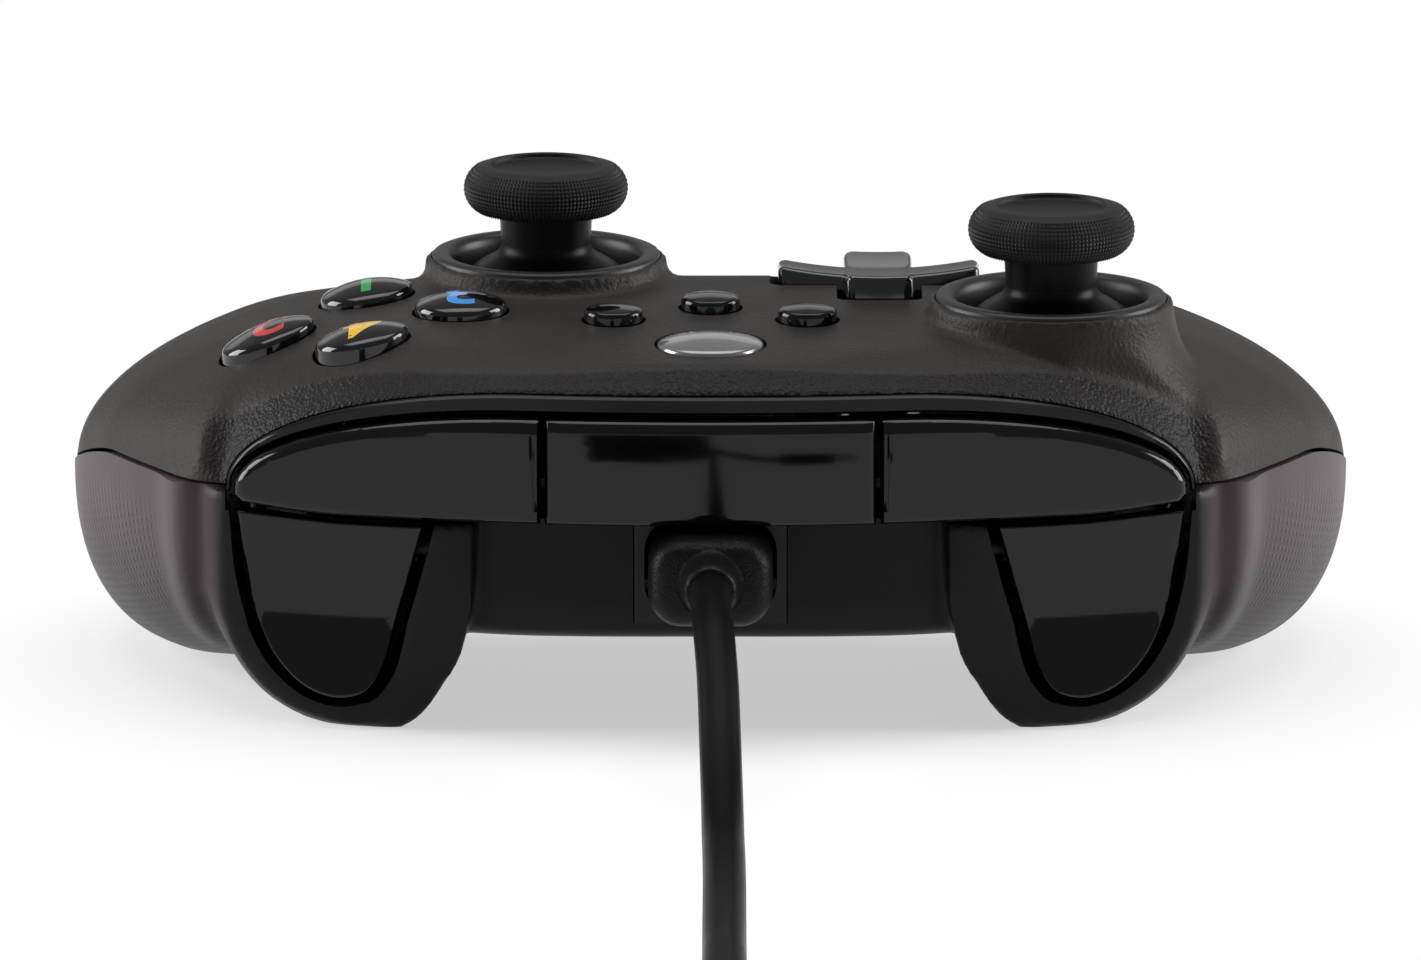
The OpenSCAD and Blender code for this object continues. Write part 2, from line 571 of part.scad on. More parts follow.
// Pivots of the shoulder buttons: pins held by ears of the centre cover
bumper_pin_r = 1.5;
bumper_pin_x = cover_half_w + 4.1;
bumper_pin_q = bulge(bumper_pin_x) + bumper_t + 3.2;
ear_r = 2.7;
ear_t = 2;
bumper_top_z = arch_z0 + arch_h - bumper_top_in;
ear_low_z = bumper_z + 0.8;
ear_high_z = bumper_top_z - 0.8 - ear_t;
module center_cover() color([0.05, 0.05, 0.055]) {
    difference() {
        union() {
            intersection() {
                drawn_in_front(-2, 30)
                    translate([-cover_half_w, bumper_z]) square([2 * cover_half_w, bumper_top_z - bumper_z]);
                front_band(0, bumper_t);
            }
            for (z = [ear_low_z, ear_high_z]) for (side = [-1, 1]) translate([0, 0, z]) {
                translate([side * bumper_pin_x, yq(bumper_pin_q), 0]) cylinder(r = ear_r, h = ear_t);
                translate([side > 0 ? 12 : -bumper_pin_x, yq(bumper_pin_q) - 1.9, 0])
                    cube([bumper_pin_x - 12, ear_r + 1.9, ear_t]);
                translate([side > 0 ? 12 : -cover_half_w, yq(bumper_t - 1), 0])
                    cube([cover_half_w - 12, bumper_pin_q - bumper_t + 1, ear_t]);
            }
        }
        for (side = [-1, 1]) translate([side * bumper_pin_x, yq(bumper_pin_q), 0])
            cylinder(r = bumper_pin_r + pin_play, h = 60);
    }
}
module bumper_pins() color([0.7, 0.7, 0.72]) for (side = [-1, 1])
    translate([side * bumper_pin_x, yq(bumper_pin_q), ear_low_z + 0.2])
        cylinder(r = bumper_pin_r, h = ear_high_z + ear_t - ear_low_z - 0.4);

module left_bumper() color([0.03, 0.03, 0.03]) difference() {
    union() {
        intersection() {
            drawn_in_front(-2, 30) polygon(bumper_outline);
            front_band(0, bumper_t);
        }
        translate([bumper_pin_x, yq(bumper_pin_q), ear_low_z + ear_t + 0.3])
            cylinder(r = ear_r, h = ear_high_z - ear_low_z - ear_t - 0.6);
        translate([bumper_pin_x - 1.6, yq(bulge(bumper_pin_x) + bumper_t - 1), ear_low_z + ear_t + 0.3])
            cube([3.2, 4.2, ear_high_z - ear_low_z - ear_t - 0.6]);
    }
    translate([bumper_pin_x, yq(bumper_pin_q), 0]) cylinder(r = bumper_pin_r + pin_play, h = 60);
}
module right_bumper() flip() left_bumper();

// Small boards that carry the shoulder switches, on the edge of the lower shell
switch_x = 50;
switch_q = bulge(switch_x + 1.2) + bumper_t + 1.5;
switch_board_q = 18;
module bumper_switches() color([0.1, 0.3, 0.16]) for (side = [-1, 1]) {
    translate([side * switch_x - 3.5, yq(switch_board_q), seam_z0 - 0.6]) cube([7, 1.2, 5.6]);
    translate([side * switch_x - 1.5, yq(switch_q + 0.6), seam_z0 + 0.6])
        cube([3, switch_board_q - switch_q - 0.6 + eps, 3]);
    translate([side * switch_x, yq(switch_q), seam_z0 + 2.1]) along_y(0, 0.7, 0.8);
}

module port_surround() color([0.06, 0.06, 0.065]) drawn_in_front(panel_q - 0.4, 11.6) difference() {
    translate([-port_half_w + port_gap, port_low_z + port_gap])
        square([2 * (port_half_w - port_gap), panel_top_z - port_low_z - port_gap]);
    plug_slice(plug_gap);
}

module screws() color([0.6, 0.6, 0.62]) for (p = screw_places) translate([p[0], yq(p[1]), p[2]]) {
    translate([0, 0, -screw_head_h]) difference() {
        cylinder(r = screw_head_r, h = screw_head_h);
        translate([-0.5, -2, -0.1]) cube([1, 4, 0.9]);
        translate([-2, -0.5, -0.1]) cube([4, 1, 0.9]);
    }
    translate([0, 0, -eps]) cylinder(r = screw_r, h = screw_l - screw_head_h);
}

board_tab_q = jack_q + jack_box_l + 0.5;
board_rear_q = board_tab_q - 3.8;
module main_board() color([0.1, 0.32, 0.16]) difference() {
    on_deck(0, 0) translate([0, 0, -board_depth - board_t]) linear_extrude(board_t) difference() {
        polygon([[-44, 18.5], [-10, 18.5], [-10, 13.2], [10, 13.2], [10, 18.5], [44, 18.5], [49, 24], [49, 46],
            [42, board_rear_q], [8, board_rear_q], [8, board_tab_q], [-8, board_tab_q], [-8, board_rear_q],
            [-42, board_rear_q], [-49, 46], [-49, 24]]);
        translate([0, (45 - board_depth * sin(tilt)) / cos(tilt)]) circle(r = boss_r + 1.2);
    }
}

module usb_board() color([0.1, 0.32, 0.16])
    translate([-8, yq(13), usb_board_z]) cube([16, 16, usb_board_t]);
module usb_socket() color([0.72, 0.72, 0.74]) drawn_in_front(socket_q, socket_q + socket_l) difference() {
    translate([-tongue_w / 2 - socket_gap - socket_wall, plug_z - 1.8 - socket_wall])
        square([tongue_w + 2 * (socket_gap + socket_wall), 1.8 + socket_wall + tongue_h / 2 + socket_gap + socket_wall]);
    translate([-tongue_w / 2 - socket_gap, plug_z - tongue_h / 2 - socket_gap])
        square([tongue_w + 2 * socket_gap, tongue_h + 2 * socket_gap]);
}
module jack_pocket() translate([0, yq(jack_q), jack_z()]) {
    translate([-3.4 - jack_room, -jack_room, -jack_axis_h - jack_room])
        cube([6.8 + 2 * jack_room, jack_box_l + 2 * jack_room, 6.2 + 2 * jack_room]);
    along_y(jack_box_l - 1, jack_l + 30, jack_r + jack_wall + 0.6);
}
module headset_jack() color([0.08, 0.08, 0.08]) translate([0, yq(jack_q), jack_z()]) difference() {
    union() {
        translate([-3.4, 0, -jack_axis_h]) cube([6.8, jack_box_l, 6.2]);
        along_y(jack_box_l - 0.5, jack_l, jack_r + jack_wall);
    }
    along_y(1, jack_l + 1, jack_r);
}

// Thumbsticks, each drawn about its own place on the deck
module stick_ring() color([0.06, 0.06, 0.065]) rotate_extrude($fn = 96) polygon([
    [ring_in_r + 0.2, ledge_h + 0.1], [ring_out_r, ledge_h + 0.1], [ring_out_r, collar_h + 0.3],
    [ring_out_r - 0.6, collar_h + 0.6], [ring_in_r + 0.9, collar_h + 0.6], [ring_in_r + 0.3, collar_h + 0.3],
    [ring_in_r, collar_h - 0.8], [ring_in_r, 1.2]]);
ring_low = -1.5;
rocker_out = stick_frame - stick_frame_t - 0.4;
rocker_in = rocker_out - 1.7;
cradle_r = rocker_in - 0.3;
shaft_in_r = 1.7;
inner_pin_r = stick_pin_r - 0.2;
module stick_frame_solid() color([0.15, 0.15, 0.16]) difference() {
    union() {
        translate([-stick_frame, -stick_frame, -board_depth]) difference() {
            cube([2 * stick_frame, 2 * stick_frame, board_depth - stick_pivot + 2.2]);
            translate([stick_frame_t, stick_frame_t, 0.6])
                cube([2 * (stick_frame - stick_frame_t), 2 * (stick_frame - stick_frame_t), 20]);
        }
    }
    translate([0, 0, -stick_pivot]) along_x(-20, 20, stick_pin_r + pin_play);
}
module stick_rocker() color([0.75, 0.75, 0.76]) translate([0, 0, -stick_pivot]) difference() {
    union() {
        translate([0, 0, -1.5]) tube_of(rocker_out, rocker_in, 3);
        for (a = [0, 180]) rotate([0, 0, a]) along_x(rocker_in + 0.6, stick_frame - 0.2, stick_pin_r);
    }
    along_y(-20, 20, inner_pin_r + pin_play);
}
module stick_cradle() color([0.6, 0.6, 0.62]) translate([0, 0, -stick_pivot]) difference() {
    union() {
        intersection() {
            sphere(r = cradle_r, $fn = 48);
            translate([-10, -10, -2]) cube([20, 20, 4]);
        }
        for (a = [90, -90]) rotate([0, 0, a]) along_x(cradle_r - 0.8, rocker_out - 0.3, inner_pin_r);
    }
    translate([0, 0, -10]) cylinder(r = shaft_in_r + pin_play, h = 20);
}
cap_roll = 2.9;
stem_top_h = cap_top_h - 2 * cap_roll + 0.3;
dome_t = 1;
dome_edge = 64;
module stick_stem() color([0.04, 0.04, 0.04]) translate([0, 0, -stick_pivot]) rotate_extrude($fn = 72) polygon(concat(
    [[0, -3.6], [shaft_in_r, -3.6], [shaft_in_r, dome_r - dome_t - 0.6]],
    [for (a = [asin(shaft_in_r / (dome_r - dome_t)) : (dome_edge - 8) / 8 : dome_edge])
        [(dome_r - dome_t) * sin(a), (dome_r - dome_t) * cos(a)]],
    [for (a = [dome_edge : -4 : asin(stem_r / dome_r) + 1]) [dome_r * sin(a), dome_r * cos(a)]],
    [[stem_r, dome_r * cos(asin(stem_r / dome_r)) + 0.8], [stem_r + 0.2, stick_pivot + stem_top_h],
    [0, stick_pivot + stem_top_h]]));
module stick_cap() color([0.07, 0.07, 0.07]) rotate_extrude($fn = 96) polygon(concat(
    [[0, stem_top_h], [stem_r + 1.6, stem_top_h]],
    [for (a = [-80 : 20 : 80]) [cap_r - cap_roll + cap_roll * cos(a), cap_top_h - cap_roll + cap_roll * sin(a)]],
    [[cap_r - 3.6, cap_top_h - 0.4], [cap_r - 4.6, cap_top_h - 1.1], [3, cap_top_h - 1.6], [0, cap_top_h - 1.7]]));
module at_left_stick() on_deck(left_stick_x, left_stick_q) children();
module at_right_stick() on_deck(right_stick_x, right_stick_at) children();
module left_stick_ring() at_left_stick() stick_ring();
module right_stick_ring() at_right_stick() stick_ring();
module left_stick_frame() at_left_stick() stick_frame_solid();
module right_stick_frame() at_right_stick() stick_frame_solid();
module left_rocker() at_left_stick() stick_rocker();
module right_rocker() at_right_stick() stick_rocker();
module left_cradle() at_left_stick() stick_cradle();
module right_cradle() at_right_stick() stick_cradle();
module left_stem() at_left_stick() stick_stem();
module right_stem() at_right_stick() stick_stem();
module left_cap() at_left_stick() stick_cap();
module right_cap() at_right_stick() stick_cap();

// Direction pad: a cross on a ring that rocks between two posts
dpad_pin_r = 0.8;
dpad_ring_out = 5.6;
dpad_ring_in = 4.1;
dpad_hub_r = 3.6;
dpad_post_y = 6;
dpad_post_t = 1.5;
dpad_skirt = 2.2;
dpad_dish_r = 60;
dpad_dish_back = 5;
dpad_peg_r = 1.2;
dpad_peg_place = dpad_l / 2 - 1.9;
pad_t = 1;
dome_pad_h = 1.6;
press_room = 0.35;
module dpad_base() color([0.15, 0.15, 0.16]) on_deck(dpad_x, dpad_at) difference() {
    union() {
        translate([-4, -dpad_post_y - dpad_post_t, -board_depth])
            cube([8, 2 * (dpad_post_y + dpad_post_t), 1.4]);
        for (y = [-dpad_post_y - dpad_post_t, dpad_post_y]) translate([-2, y, -board_depth])
            cube([4, dpad_post_t, board_depth - dpad_pivot + 1.8]);
    }
    translate([0, 0, -dpad_pivot]) along_y(-20, 20, dpad_pin_r + pin_play);
}
module dpad_gimbal() color([0.7, 0.7, 0.7]) on_deck(dpad_x, dpad_at) translate([0, 0, -dpad_pivot]) difference() {
    union() {
        translate([0, 0, -1.3]) tube_of(dpad_ring_out, dpad_ring_in, 2.6);
        for (a = [90, -90]) rotate([0, 0, a])
            along_x(dpad_ring_in + 0.5, dpad_post_y + dpad_post_t - 0.2, dpad_pin_r);
    }
    along_x(-20, 20, dpad_pin_r - 0.1 + pin_play);
}
module dpad() color([0.05, 0.05, 0.05]) on_deck(dpad_x, dpad_at) {
    difference() {
        translate([0, 0, -dpad_skirt]) linear_extrude(dpad_h + dpad_skirt) cross(0);
        translate([0, dpad_dish_back, dpad_h + sqrt(dpad_dish_r * dpad_dish_r
            - pow(dpad_l / 2 + dpad_dish_back, 2))]) sphere(r = dpad_dish_r, $fn = 160);
    }
    difference() {
        translate([0, 0, -dpad_pivot - 1.6]) cylinder(r = dpad_hub_r, h = dpad_pivot - dpad_skirt + 1.6 + eps);
        translate([-5, -5, -dpad_pivot - 4]) cube([10, 10, 2.4]);
    }
    translate([0, 0, -dpad_pivot]) along_x(-dpad_ring_out + 0.3, dpad_ring_out - 0.3, dpad_pin_r - 0.1);
    for (a = [0 : 90 : 270]) rotate([0, 0, a]) translate([dpad_peg_place, 0, peg_low_h()])
        cylinder(r = dpad_peg_r, h = -dpad_skirt - peg_low_h() + eps);
}
function peg_low_h() = -board_depth + pad_t + dome_pad_h + 1.3;
module dpad_mat() color([0.55, 0.55, 0.53]) on_deck(dpad_x, dpad_at) {
    for (a = [0 : 90 : 270]) rotate([0, 0, a]) translate([dpad_peg_place, 0, -board_depth]) {
        cylinder(r = 2.4, h = pad_t);
        translate([0, 0, pad_t - eps]) cylinder(r1 = 2, r2 = 1.4, h = dome_pad_h);
    }
    translate([0, 0, -board_depth]) tube_of(dpad_peg_place + 1, dpad_peg_place - 1, pad_t * 0.8);
}

// Face buttons: each has a flange under the skin and a plunger over the rubber mat
face_flange = 0.7;
face_flange_drop = 6.6;
plunger_low_h = -board_depth + pad_t + dome_pad_h + face_travel + press_room;
module face_button(place) on_deck(place[0], place[1]) {
    h = skin_h(place[0], place[1]);
    rise = 1.3;
    ball = (face_r * face_r + rise * rise) / (2 * rise);
    intersection() {
        translate([0, 0, h - face_flange_drop]) cylinder(r = face_r, h = face_flange_drop + face_h);
        translate([0, 0, h + face_h]) rotate([0, -skin_lean(place[0], place[1]), 0])
            translate([0, 0, -ball]) sphere(r = ball, $fn = 120);
    }
    translate([0, 0, h - face_flange_drop - 1]) cylinder(r = face_r + face_flange, h = 1 + eps);
    translate([0, 0, plunger_low_h]) cylinder(r = 2.4, h = h - face_flange_drop - plunger_low_h);
}
module face_south() color([0.1, 0.5, 0.2]) face_button(face_places[0]);
module face_east() color([0.6, 0.1, 0.1]) face_button(face_places[1]);
module face_west() color([0.1, 0.25, 0.7]) face_button(face_places[2]);
module face_north() color([0.7, 0.55, 0.05]) face_button(face_places[3]);
module face_mat() color([0.55, 0.55, 0.53]) for (p = face_places) {
    on_deck(p[0], p[1]) translate([0, 0, -board_depth]) {
        cylinder(r = 3.4, h = pad_t);
        translate([0, 0, pad_t - eps]) cylinder(r1 = 3, r2 = 2.2, h = dome_pad_h);
    }
    on_deck((p[0] + face_x) / 2, (p[1] + face_q) / 2) translate([0, 0, -board_depth])
        cylinder(r = 3.6, h = pad_t * 0.8);
}

// Small buttons over tact switches
tact_h = 2;
tact_nub = 0.7;
tact_low_h = -board_depth + tact_h + tact_nub + small_travel + press_room;
module small_button(x, q, r, stand, rise) on_deck(x, q) {
    h = skin_h(x, q) + stand;
    ball = (r * r + rise * rise) / (2 * rise);
    intersection() {
        translate([0, 0, -4]) cylinder(r = r, h = 4 + h);
        translate([0, 0, h - ball]) sphere(r = ball, $fn = 120);
    }
    translate([0, 0, -5]) cylinder(r = r + 0.6, h = 1 + eps);
    translate([0, 0, tact_low_h]) cylinder(r = 1.6, h = -5 - tact_low_h + eps);
}
module home_button() color([0.75, 0.75, 0.77]) small_button(0, home_q, home_r, 1.2, 1);
module menu_button() color([0.06, 0.06, 0.06]) small_button(-small_x, small_q, small_r, 1.7, 0.4);
module view_button() color([0.06, 0.06, 0.06]) small_button(small_x, small_q, small_r, 1.7, 0.4);
module share_button() color([0.06, 0.06, 0.06]) small_button(0, share_q, small_r, 1.7, 0.4);
module tact_switches() color([0.2, 0.2, 0.22]) for (p = concat([[0, home_q]], small_places))
    on_deck(p[0], p[1]) translate([0, 0, -board_depth]) {
        translate([-2, -2, 0]) cube([4, 4, tact_h]);
        translate([0, 0, tact_h - eps]) cylinder(r = 0.9, h = tact_nub);
    }

// Triggers: a curved skin, two ribs and a barrel on a pin
barrel_x0 = -5;
barrel_x1 = 9;
module trigger_ribs() for (x = [barrel_x0, barrel_x1 - 2]) translate([x, 0, 0])
    rotate([90, 0, 90]) linear_extrude(2) polygon([[4, trigger_pivot_z + 2], [trigger_pivot_q, trigger_pivot_z + 2],
        [trigger_pivot_q + 1.6, trigger_pivot_z - 1.4], [5.2, trigger_pivot_z - 9], [4, trigger_pivot_z - 9]]);
module left_trigger() color([0.03, 0.03, 0.03]) difference() {
    union() {
        intersection() {
            drawn_in_front(-3, 26) polygon(trigger_outline);
            translate([0, yq(front_r), 0]) rotate_extrude($fn = 240) polygon(concat(
                [for (p = trigger_profile) [front_r - p[1], p[0]]],
                [for (i = [len(trigger_profile) - 1 : -1 : 0])
                    [front_r - trigger_profile[i][1] - trigger_t, trigger_profile[i][0]]]));
        }
        on_arc() {
            trigger_ribs();
            translate([0, trigger_pivot_q, trigger_pivot_z]) along_x(barrel_x0, barrel_x1, barrel_r);
        }
    }
    on_arc() translate([0, trigger_pivot_q, trigger_pivot_z]) along_x(-20, 25, trigger_pin_r + pin_play);
}
module right_trigger() flip() left_trigger();
module left_trigger_pin() color([0.7, 0.7, 0.72]) on_arc()
    translate([0, trigger_pivot_q, trigger_pivot_z]) along_x(-12.2, 17, trigger_pin_r);
module right_trigger_pin() flip() left_trigger_pin();

// Tube along a path that never stands upright
function unit(v) = v / norm(v);
function heading(path, i) = unit(path[min(len(path) - 1, i + 1)] - path[max(0, i - 1)]);
function tube_ring(centre, t, r, sides) =
    let (side = unit(cross(t, [0, 0, 1])), up = cross(side, t))
    [for (k = [0 : sides - 1]) centre + r * (cos(360 * k / sides) * side + sin(360 * k / sides) * up)];
module wound_tube(path, r, sides)
    loft([for (i = [0 : len(path) - 1]) tube_ring(path[i], heading(path, i), r, sides)]);
spring_wire = 0.3;
spring_r = trigger_pin_r + 0.5;
spring_turns = 3;
module left_trigger_spring() color([0.7, 0.7, 0.72]) on_arc() translate([-8.6, trigger_pivot_q, trigger_pivot_z]) {
    rotate([0, 90, 0]) wound_tube([for (i = [0 : 12 * spring_turns])
        [spring_r * cos(30 * i), spring_r * sin(30 * i), 0.3 + 2.6 * i / (12 * spring_turns)]], spring_wire, 5);
}
module right_trigger_spring() flip() left_trigger_spring();

module left_motor() color([0.65, 0.65, 0.66]) translate([motor_x, yq(motor_q), motor_z]) {
    along_y(0, motor_l, motor_r);
    along_y(motor_l - eps, motor_l + weight_gap + weight_l + 0.5, shaft_r);
}
module right_motor() flip() left_motor();
module left_weight() color([0.5, 0.5, 0.5]) translate([motor_x, yq(motor_end_q + weight_gap), motor_z]) difference() {
    union() {
        along_y(0, weight_l, 2.4);
        difference() {
            along_y(0, weight_l, weight_r);
            translate([-10, -1, 0]) cube([20, weight_l + 2, 10]);
        }
    }
    along_y(-1, weight_l + 1, shaft_r + pin_play);
}
module right_weight() flip() left_weight();

// Cable: plug at the pad, lead to the coil, coil, tail and the plug at the far end
nub_l = 5;
module cable_plug() color([0.07, 0.07, 0.07]) {
    hull() {
        drawn_in_front(0, plug_back_q) plug_slice(0);
        drawn_in_front(plug_front_q, plug_front_q + eps) plug_slice(-1.6);
    }
}
module plug_tongue() color([0.75, 0.75, 0.76]) drawn_in_front(plug_back_q, plug_back_q + tongue_l)
    translate([-tongue_w / 2, plug_z - tongue_h / 2]) square([tongue_w, tongue_h]);
module strain_relief() color([0.07, 0.07, 0.07]) translate([0, yq(plug_front_q), plug_z])
    rotate([90, 0, 0]) cylinder(r1 = 3.9, r2 = cord_d / 2 + 0.5, h = nub_l);

// Route of the lead from the strain relief to the coil, chosen by hand
cord_r = cord_d / 2;
cord_sides = 8;
lead_x = 1.5;
coil_start_y = -319;
coil_low_z = tie_t + cord_r;
lead_route = [[0, yq(plug_front_q - nub_l), plug_z], [0, -64, plug_z], [0.3, -72, 18], [0.8, -82, 14],
    [1.1, -94, 8.6], [1.3, -106, 4.7], [1.4, -118, 2.8], [1.5, -130, 2.4], [1.5, -170, 2.4], [1.5, -230, 2.4],
    [1.5, -285, 2.4], [1.5, -304, 2.8], [lead_x, -312, coil_low_z], [lead_x, coil_start_y, coil_low_z]];
module cord_lead() color([0.05, 0.05, 0.05]) wound_tube(lead_route, cord_r, cord_sides);

// Coil of the rest of the cable: four layers that spiral in and out, each layer climbed in half a turn
coil_layers = 4;
coil_steps = 24;
turns_a_layer = coil_turns / coil_layers;
coil_span = turns_a_layer * coil_pitch;
coil_out_r = coil_mid_r + coil_span / 2;
coil_centre = [lead_x - coil_out_r, coil_start_y - cord_d];
function coil_layer(turn) = min(coil_layers - 1, floor(turn / turns_a_layer));
function coil_share(turn) = turn / turns_a_layer - coil_layer(turn);
function coil_radius(turn) = coil_out_r
    - coil_span * (coil_layer(turn) % 2 == 0 ? coil_share(turn) : 1 - coil_share(turn));
function climbed(turn) = [for (j = [1 : coil_layers - 1]) eased((turn - j * turns_a_layer) / 0.5 + 0.5)]
    * [for (j = [1 : coil_layers - 1]) 1];
function coil_point(turn) = [coil_centre[0] + coil_radius(turn) * cos(-360 * turn),
    coil_centre[1] + coil_radius(turn) * sin(-360 * turn), coil_low_z + coil_pitch * climbed(turn)];
coil_turning = [for (i = [0 : coil_turns * coil_steps]) coil_point(i / coil_steps)];
coil_end = coil_turning[len(coil_turning) - 1] + [cord_d, 0, 0];
coil_path = concat([[lead_x, coil_start_y, coil_low_z]], coil_turning, [coil_end]);
coil_gap = min([for (i = [0 : len(coil_turning) - 13]) for (j = [i + 12 : len(coil_turning) - 1])
    norm(coil_turning[i] - coil_turning[j])]) - cord_d;
module cord_coil() color([0.05, 0.05, 0.05]) {
    echo(least_gap_in_coil = coil_gap);
    wound_tube(coil_path, cord_r, 6);
}

tie_room = 0.35;
tie_w = 3;
tie_angles = [135, 315];
module coil_ties() color([0.1, 0.1, 0.1]) for (a = tie_angles) {
    wide = coil_span + cord_d + 2 * tie_room;
    high = (coil_layers - 1) * coil_pitch + cord_d + tie_room;
    translate([coil_centre[0], coil_centre[1], 0]) rotate([0, 0, a]) translate([coil_mid_r, 0, 0])
        rotate([90, 0, 0]) linear_extrude(tie_w, center = true) difference() {
            translate([-wide / 2 - tie_t, 0]) square([wide + 2 * tie_t, high + 2 * tie_t]);
            translate([-wide / 2, tie_t]) square([wide, high]);
        }
}

// Tail from the coil down to the plug at the far end, chosen by hand after the coil's end
far_plug_x = 38;
far_plug_y = -285;
far_plug_l = 28;
far_plug_w = 14.4;
far_plug_h = 8.4;
tail_route = [coil_end, coil_end + [7, 0, -0.2], [-12, far_plug_y, 16.6], [2, far_plug_y, 12], [15, far_plug_y, 7.8],
    [25, far_plug_y, 5.2], [32, far_plug_y, far_plug_h / 2], [far_plug_x, far_plug_y, far_plug_h / 2]];
module cord_tail() color([0.05, 0.05, 0.05]) wound_tube(tail_route, cord_r, cord_sides);
module far_plug() color([0.06, 0.06, 0.06]) translate([far_plug_x, far_plug_y, far_plug_h / 2]) rotate([90, 0, 90])
    linear_extrude(far_plug_l) hull() for (x = [-1, 1]) for (z = [-1, 1])
        translate([x * (far_plug_w / 2 - 2), z * (far_plug_h / 2 - 2)]) circle(r = 2, $fn = 32);
module far_plug_shell() color([0.75, 0.75, 0.76])
    translate([far_plug_x + far_plug_l, far_plug_y - 6, far_plug_h / 2 - 2.25]) difference() {
        cube([12, 12, 4.5]);
        translate([1, 0.4, 2.4]) cube([12, 11.2, 1.7]);
    }

top_shell();
bottom_shell();
bumper_bezel();
center_cover();
bumper_pins();
left_bumper();
right_bumper();
bumper_switches();
port_surround();
screws();
main_board();
usb_board();
usb_socket();
headset_jack();
left_stick_ring();
right_stick_ring();
left_stick_frame();
right_stick_frame();
left_rocker();
right_rocker();
left_cradle();
right_cradle();
left_stem();
right_stem();
left_cap();
right_cap();
dpad_base();
dpad_gimbal();
dpad();
dpad_mat();
face_south();
face_east();
face_west();
face_north();
face_mat();
home_button();
menu_button();
view_button();
share_button();
tact_switches();
left_trigger();
right_trigger();
left_trigger_pin();
right_trigger_pin();
left_trigger_spring();
right_trigger_spring();
left_motor();
right_motor();
left_weight();
right_weight();
cable_plug();
plug_tongue();
strain_relief();
cord_lead();
cord_coil();
coil_ties();
cord_tail();
far_plug();
far_plug_shell();
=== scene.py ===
"""Looks of a wired gamepad controller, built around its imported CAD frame."""

from __future__ import annotations

import json
import logging
import math
from dataclasses import dataclass, field
from enum import Enum
from typing import Callable, Iterable, Sequence

import bmesh
import bpy
from mathutils import Matrix, Vector

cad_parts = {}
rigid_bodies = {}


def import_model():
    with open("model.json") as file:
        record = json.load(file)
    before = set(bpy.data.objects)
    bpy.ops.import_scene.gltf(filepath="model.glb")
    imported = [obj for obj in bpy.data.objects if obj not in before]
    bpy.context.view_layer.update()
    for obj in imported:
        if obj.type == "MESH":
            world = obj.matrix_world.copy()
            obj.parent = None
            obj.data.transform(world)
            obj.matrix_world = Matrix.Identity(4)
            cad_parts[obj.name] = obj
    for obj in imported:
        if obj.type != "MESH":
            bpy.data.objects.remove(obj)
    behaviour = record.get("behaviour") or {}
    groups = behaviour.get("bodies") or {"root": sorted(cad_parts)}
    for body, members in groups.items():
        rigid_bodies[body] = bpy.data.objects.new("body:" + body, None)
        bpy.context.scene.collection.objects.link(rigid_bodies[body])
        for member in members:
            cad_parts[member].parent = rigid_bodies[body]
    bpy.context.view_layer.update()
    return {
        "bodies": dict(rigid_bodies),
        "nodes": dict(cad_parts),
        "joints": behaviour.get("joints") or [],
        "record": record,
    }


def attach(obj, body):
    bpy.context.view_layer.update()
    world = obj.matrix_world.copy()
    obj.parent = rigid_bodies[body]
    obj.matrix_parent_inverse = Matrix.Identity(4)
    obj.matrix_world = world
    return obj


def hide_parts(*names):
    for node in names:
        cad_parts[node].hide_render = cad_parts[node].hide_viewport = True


LOG = logging.getLogger("gamepad")
MM = 0.001
CLOUD_RANGE = (0.3, 0.7)
CLOUD_SCALE, CLOUD_DETAIL, CLOUD_SHARE = 70.0, 3.0, 0.75
SMOOTHEST, COAT_ROUGHNESS = 0.02, 0.04

Socket = bpy.types.NodeSocket
Piece = bpy.types.Object
Point2 = tuple[float, float]
Point3 = tuple[float, float, float]
Colour = Point3
Warp = Callable[[float, float, float, float], Point3]


class Side(Enum):
    """Side of the pad, as the player holds it."""

    LEFT = 1
    RIGHT = -1

    @property
    def word(self) -> str:
        """Name of the side as the CAD nodes spell it."""
        return self.name.lower()


def mix(a: float, b: float, t: float) -> float:
    """Straight blend from a to b."""
    return a + (b - a) * t


def clamped(t: float) -> float:
    """Value held between 0 and 1."""
    return min(1.0, max(0.0, t))


def eased(t: float) -> float:
    """Smooth step from 0 to 1."""
    u = clamped(t)
    return u * u * (3 - 2 * u)


def roll(u: float) -> float:
    """Height of a quarter circle at share u of its width."""
    return math.sqrt(1 - (1 - clamped(u)) ** 2)


def spline(points: Sequence[Sequence[float]], t: float) -> Vector:
    """Point on a smooth curve through the given points.

    Args:
        points: Points of one dimension count.
        t: Place along the curve, counted in points.

    Returns:
        The point as a vector.
    """
    last = len(points) - 1
    i = min(last - 1, max(0, math.floor(t)))
    u = t - i
    b, c = Vector(points[i]), Vector(points[i + 1])
    length = (c - b).length
    along = (c - b) / length
    leave, arrive = along, along
    if i > 0:
        before = b - Vector(points[i - 1])
        leave = (along * before.length + before * (length / before.length)) / (before.length + length)
    if i + 2 <= last:
        after = Vector(points[i + 2]) - c
        arrive = (along * after.length + after * (length / after.length)) / (after.length + length)
    return (b * (1 + 2 * u) * (1 - u) ** 2 + c * u * u * (3 - 2 * u)
            + leave * (length * u * (1 - u) ** 2) + arrive * (length * u * u * (u - 1)))


def smooth_value(values: Sequence[float], t: float) -> float:
    """Number on a smooth curve through a list of numbers."""
    return spline([(v, float(i)) for i, v in enumerate(values)], t)[0]


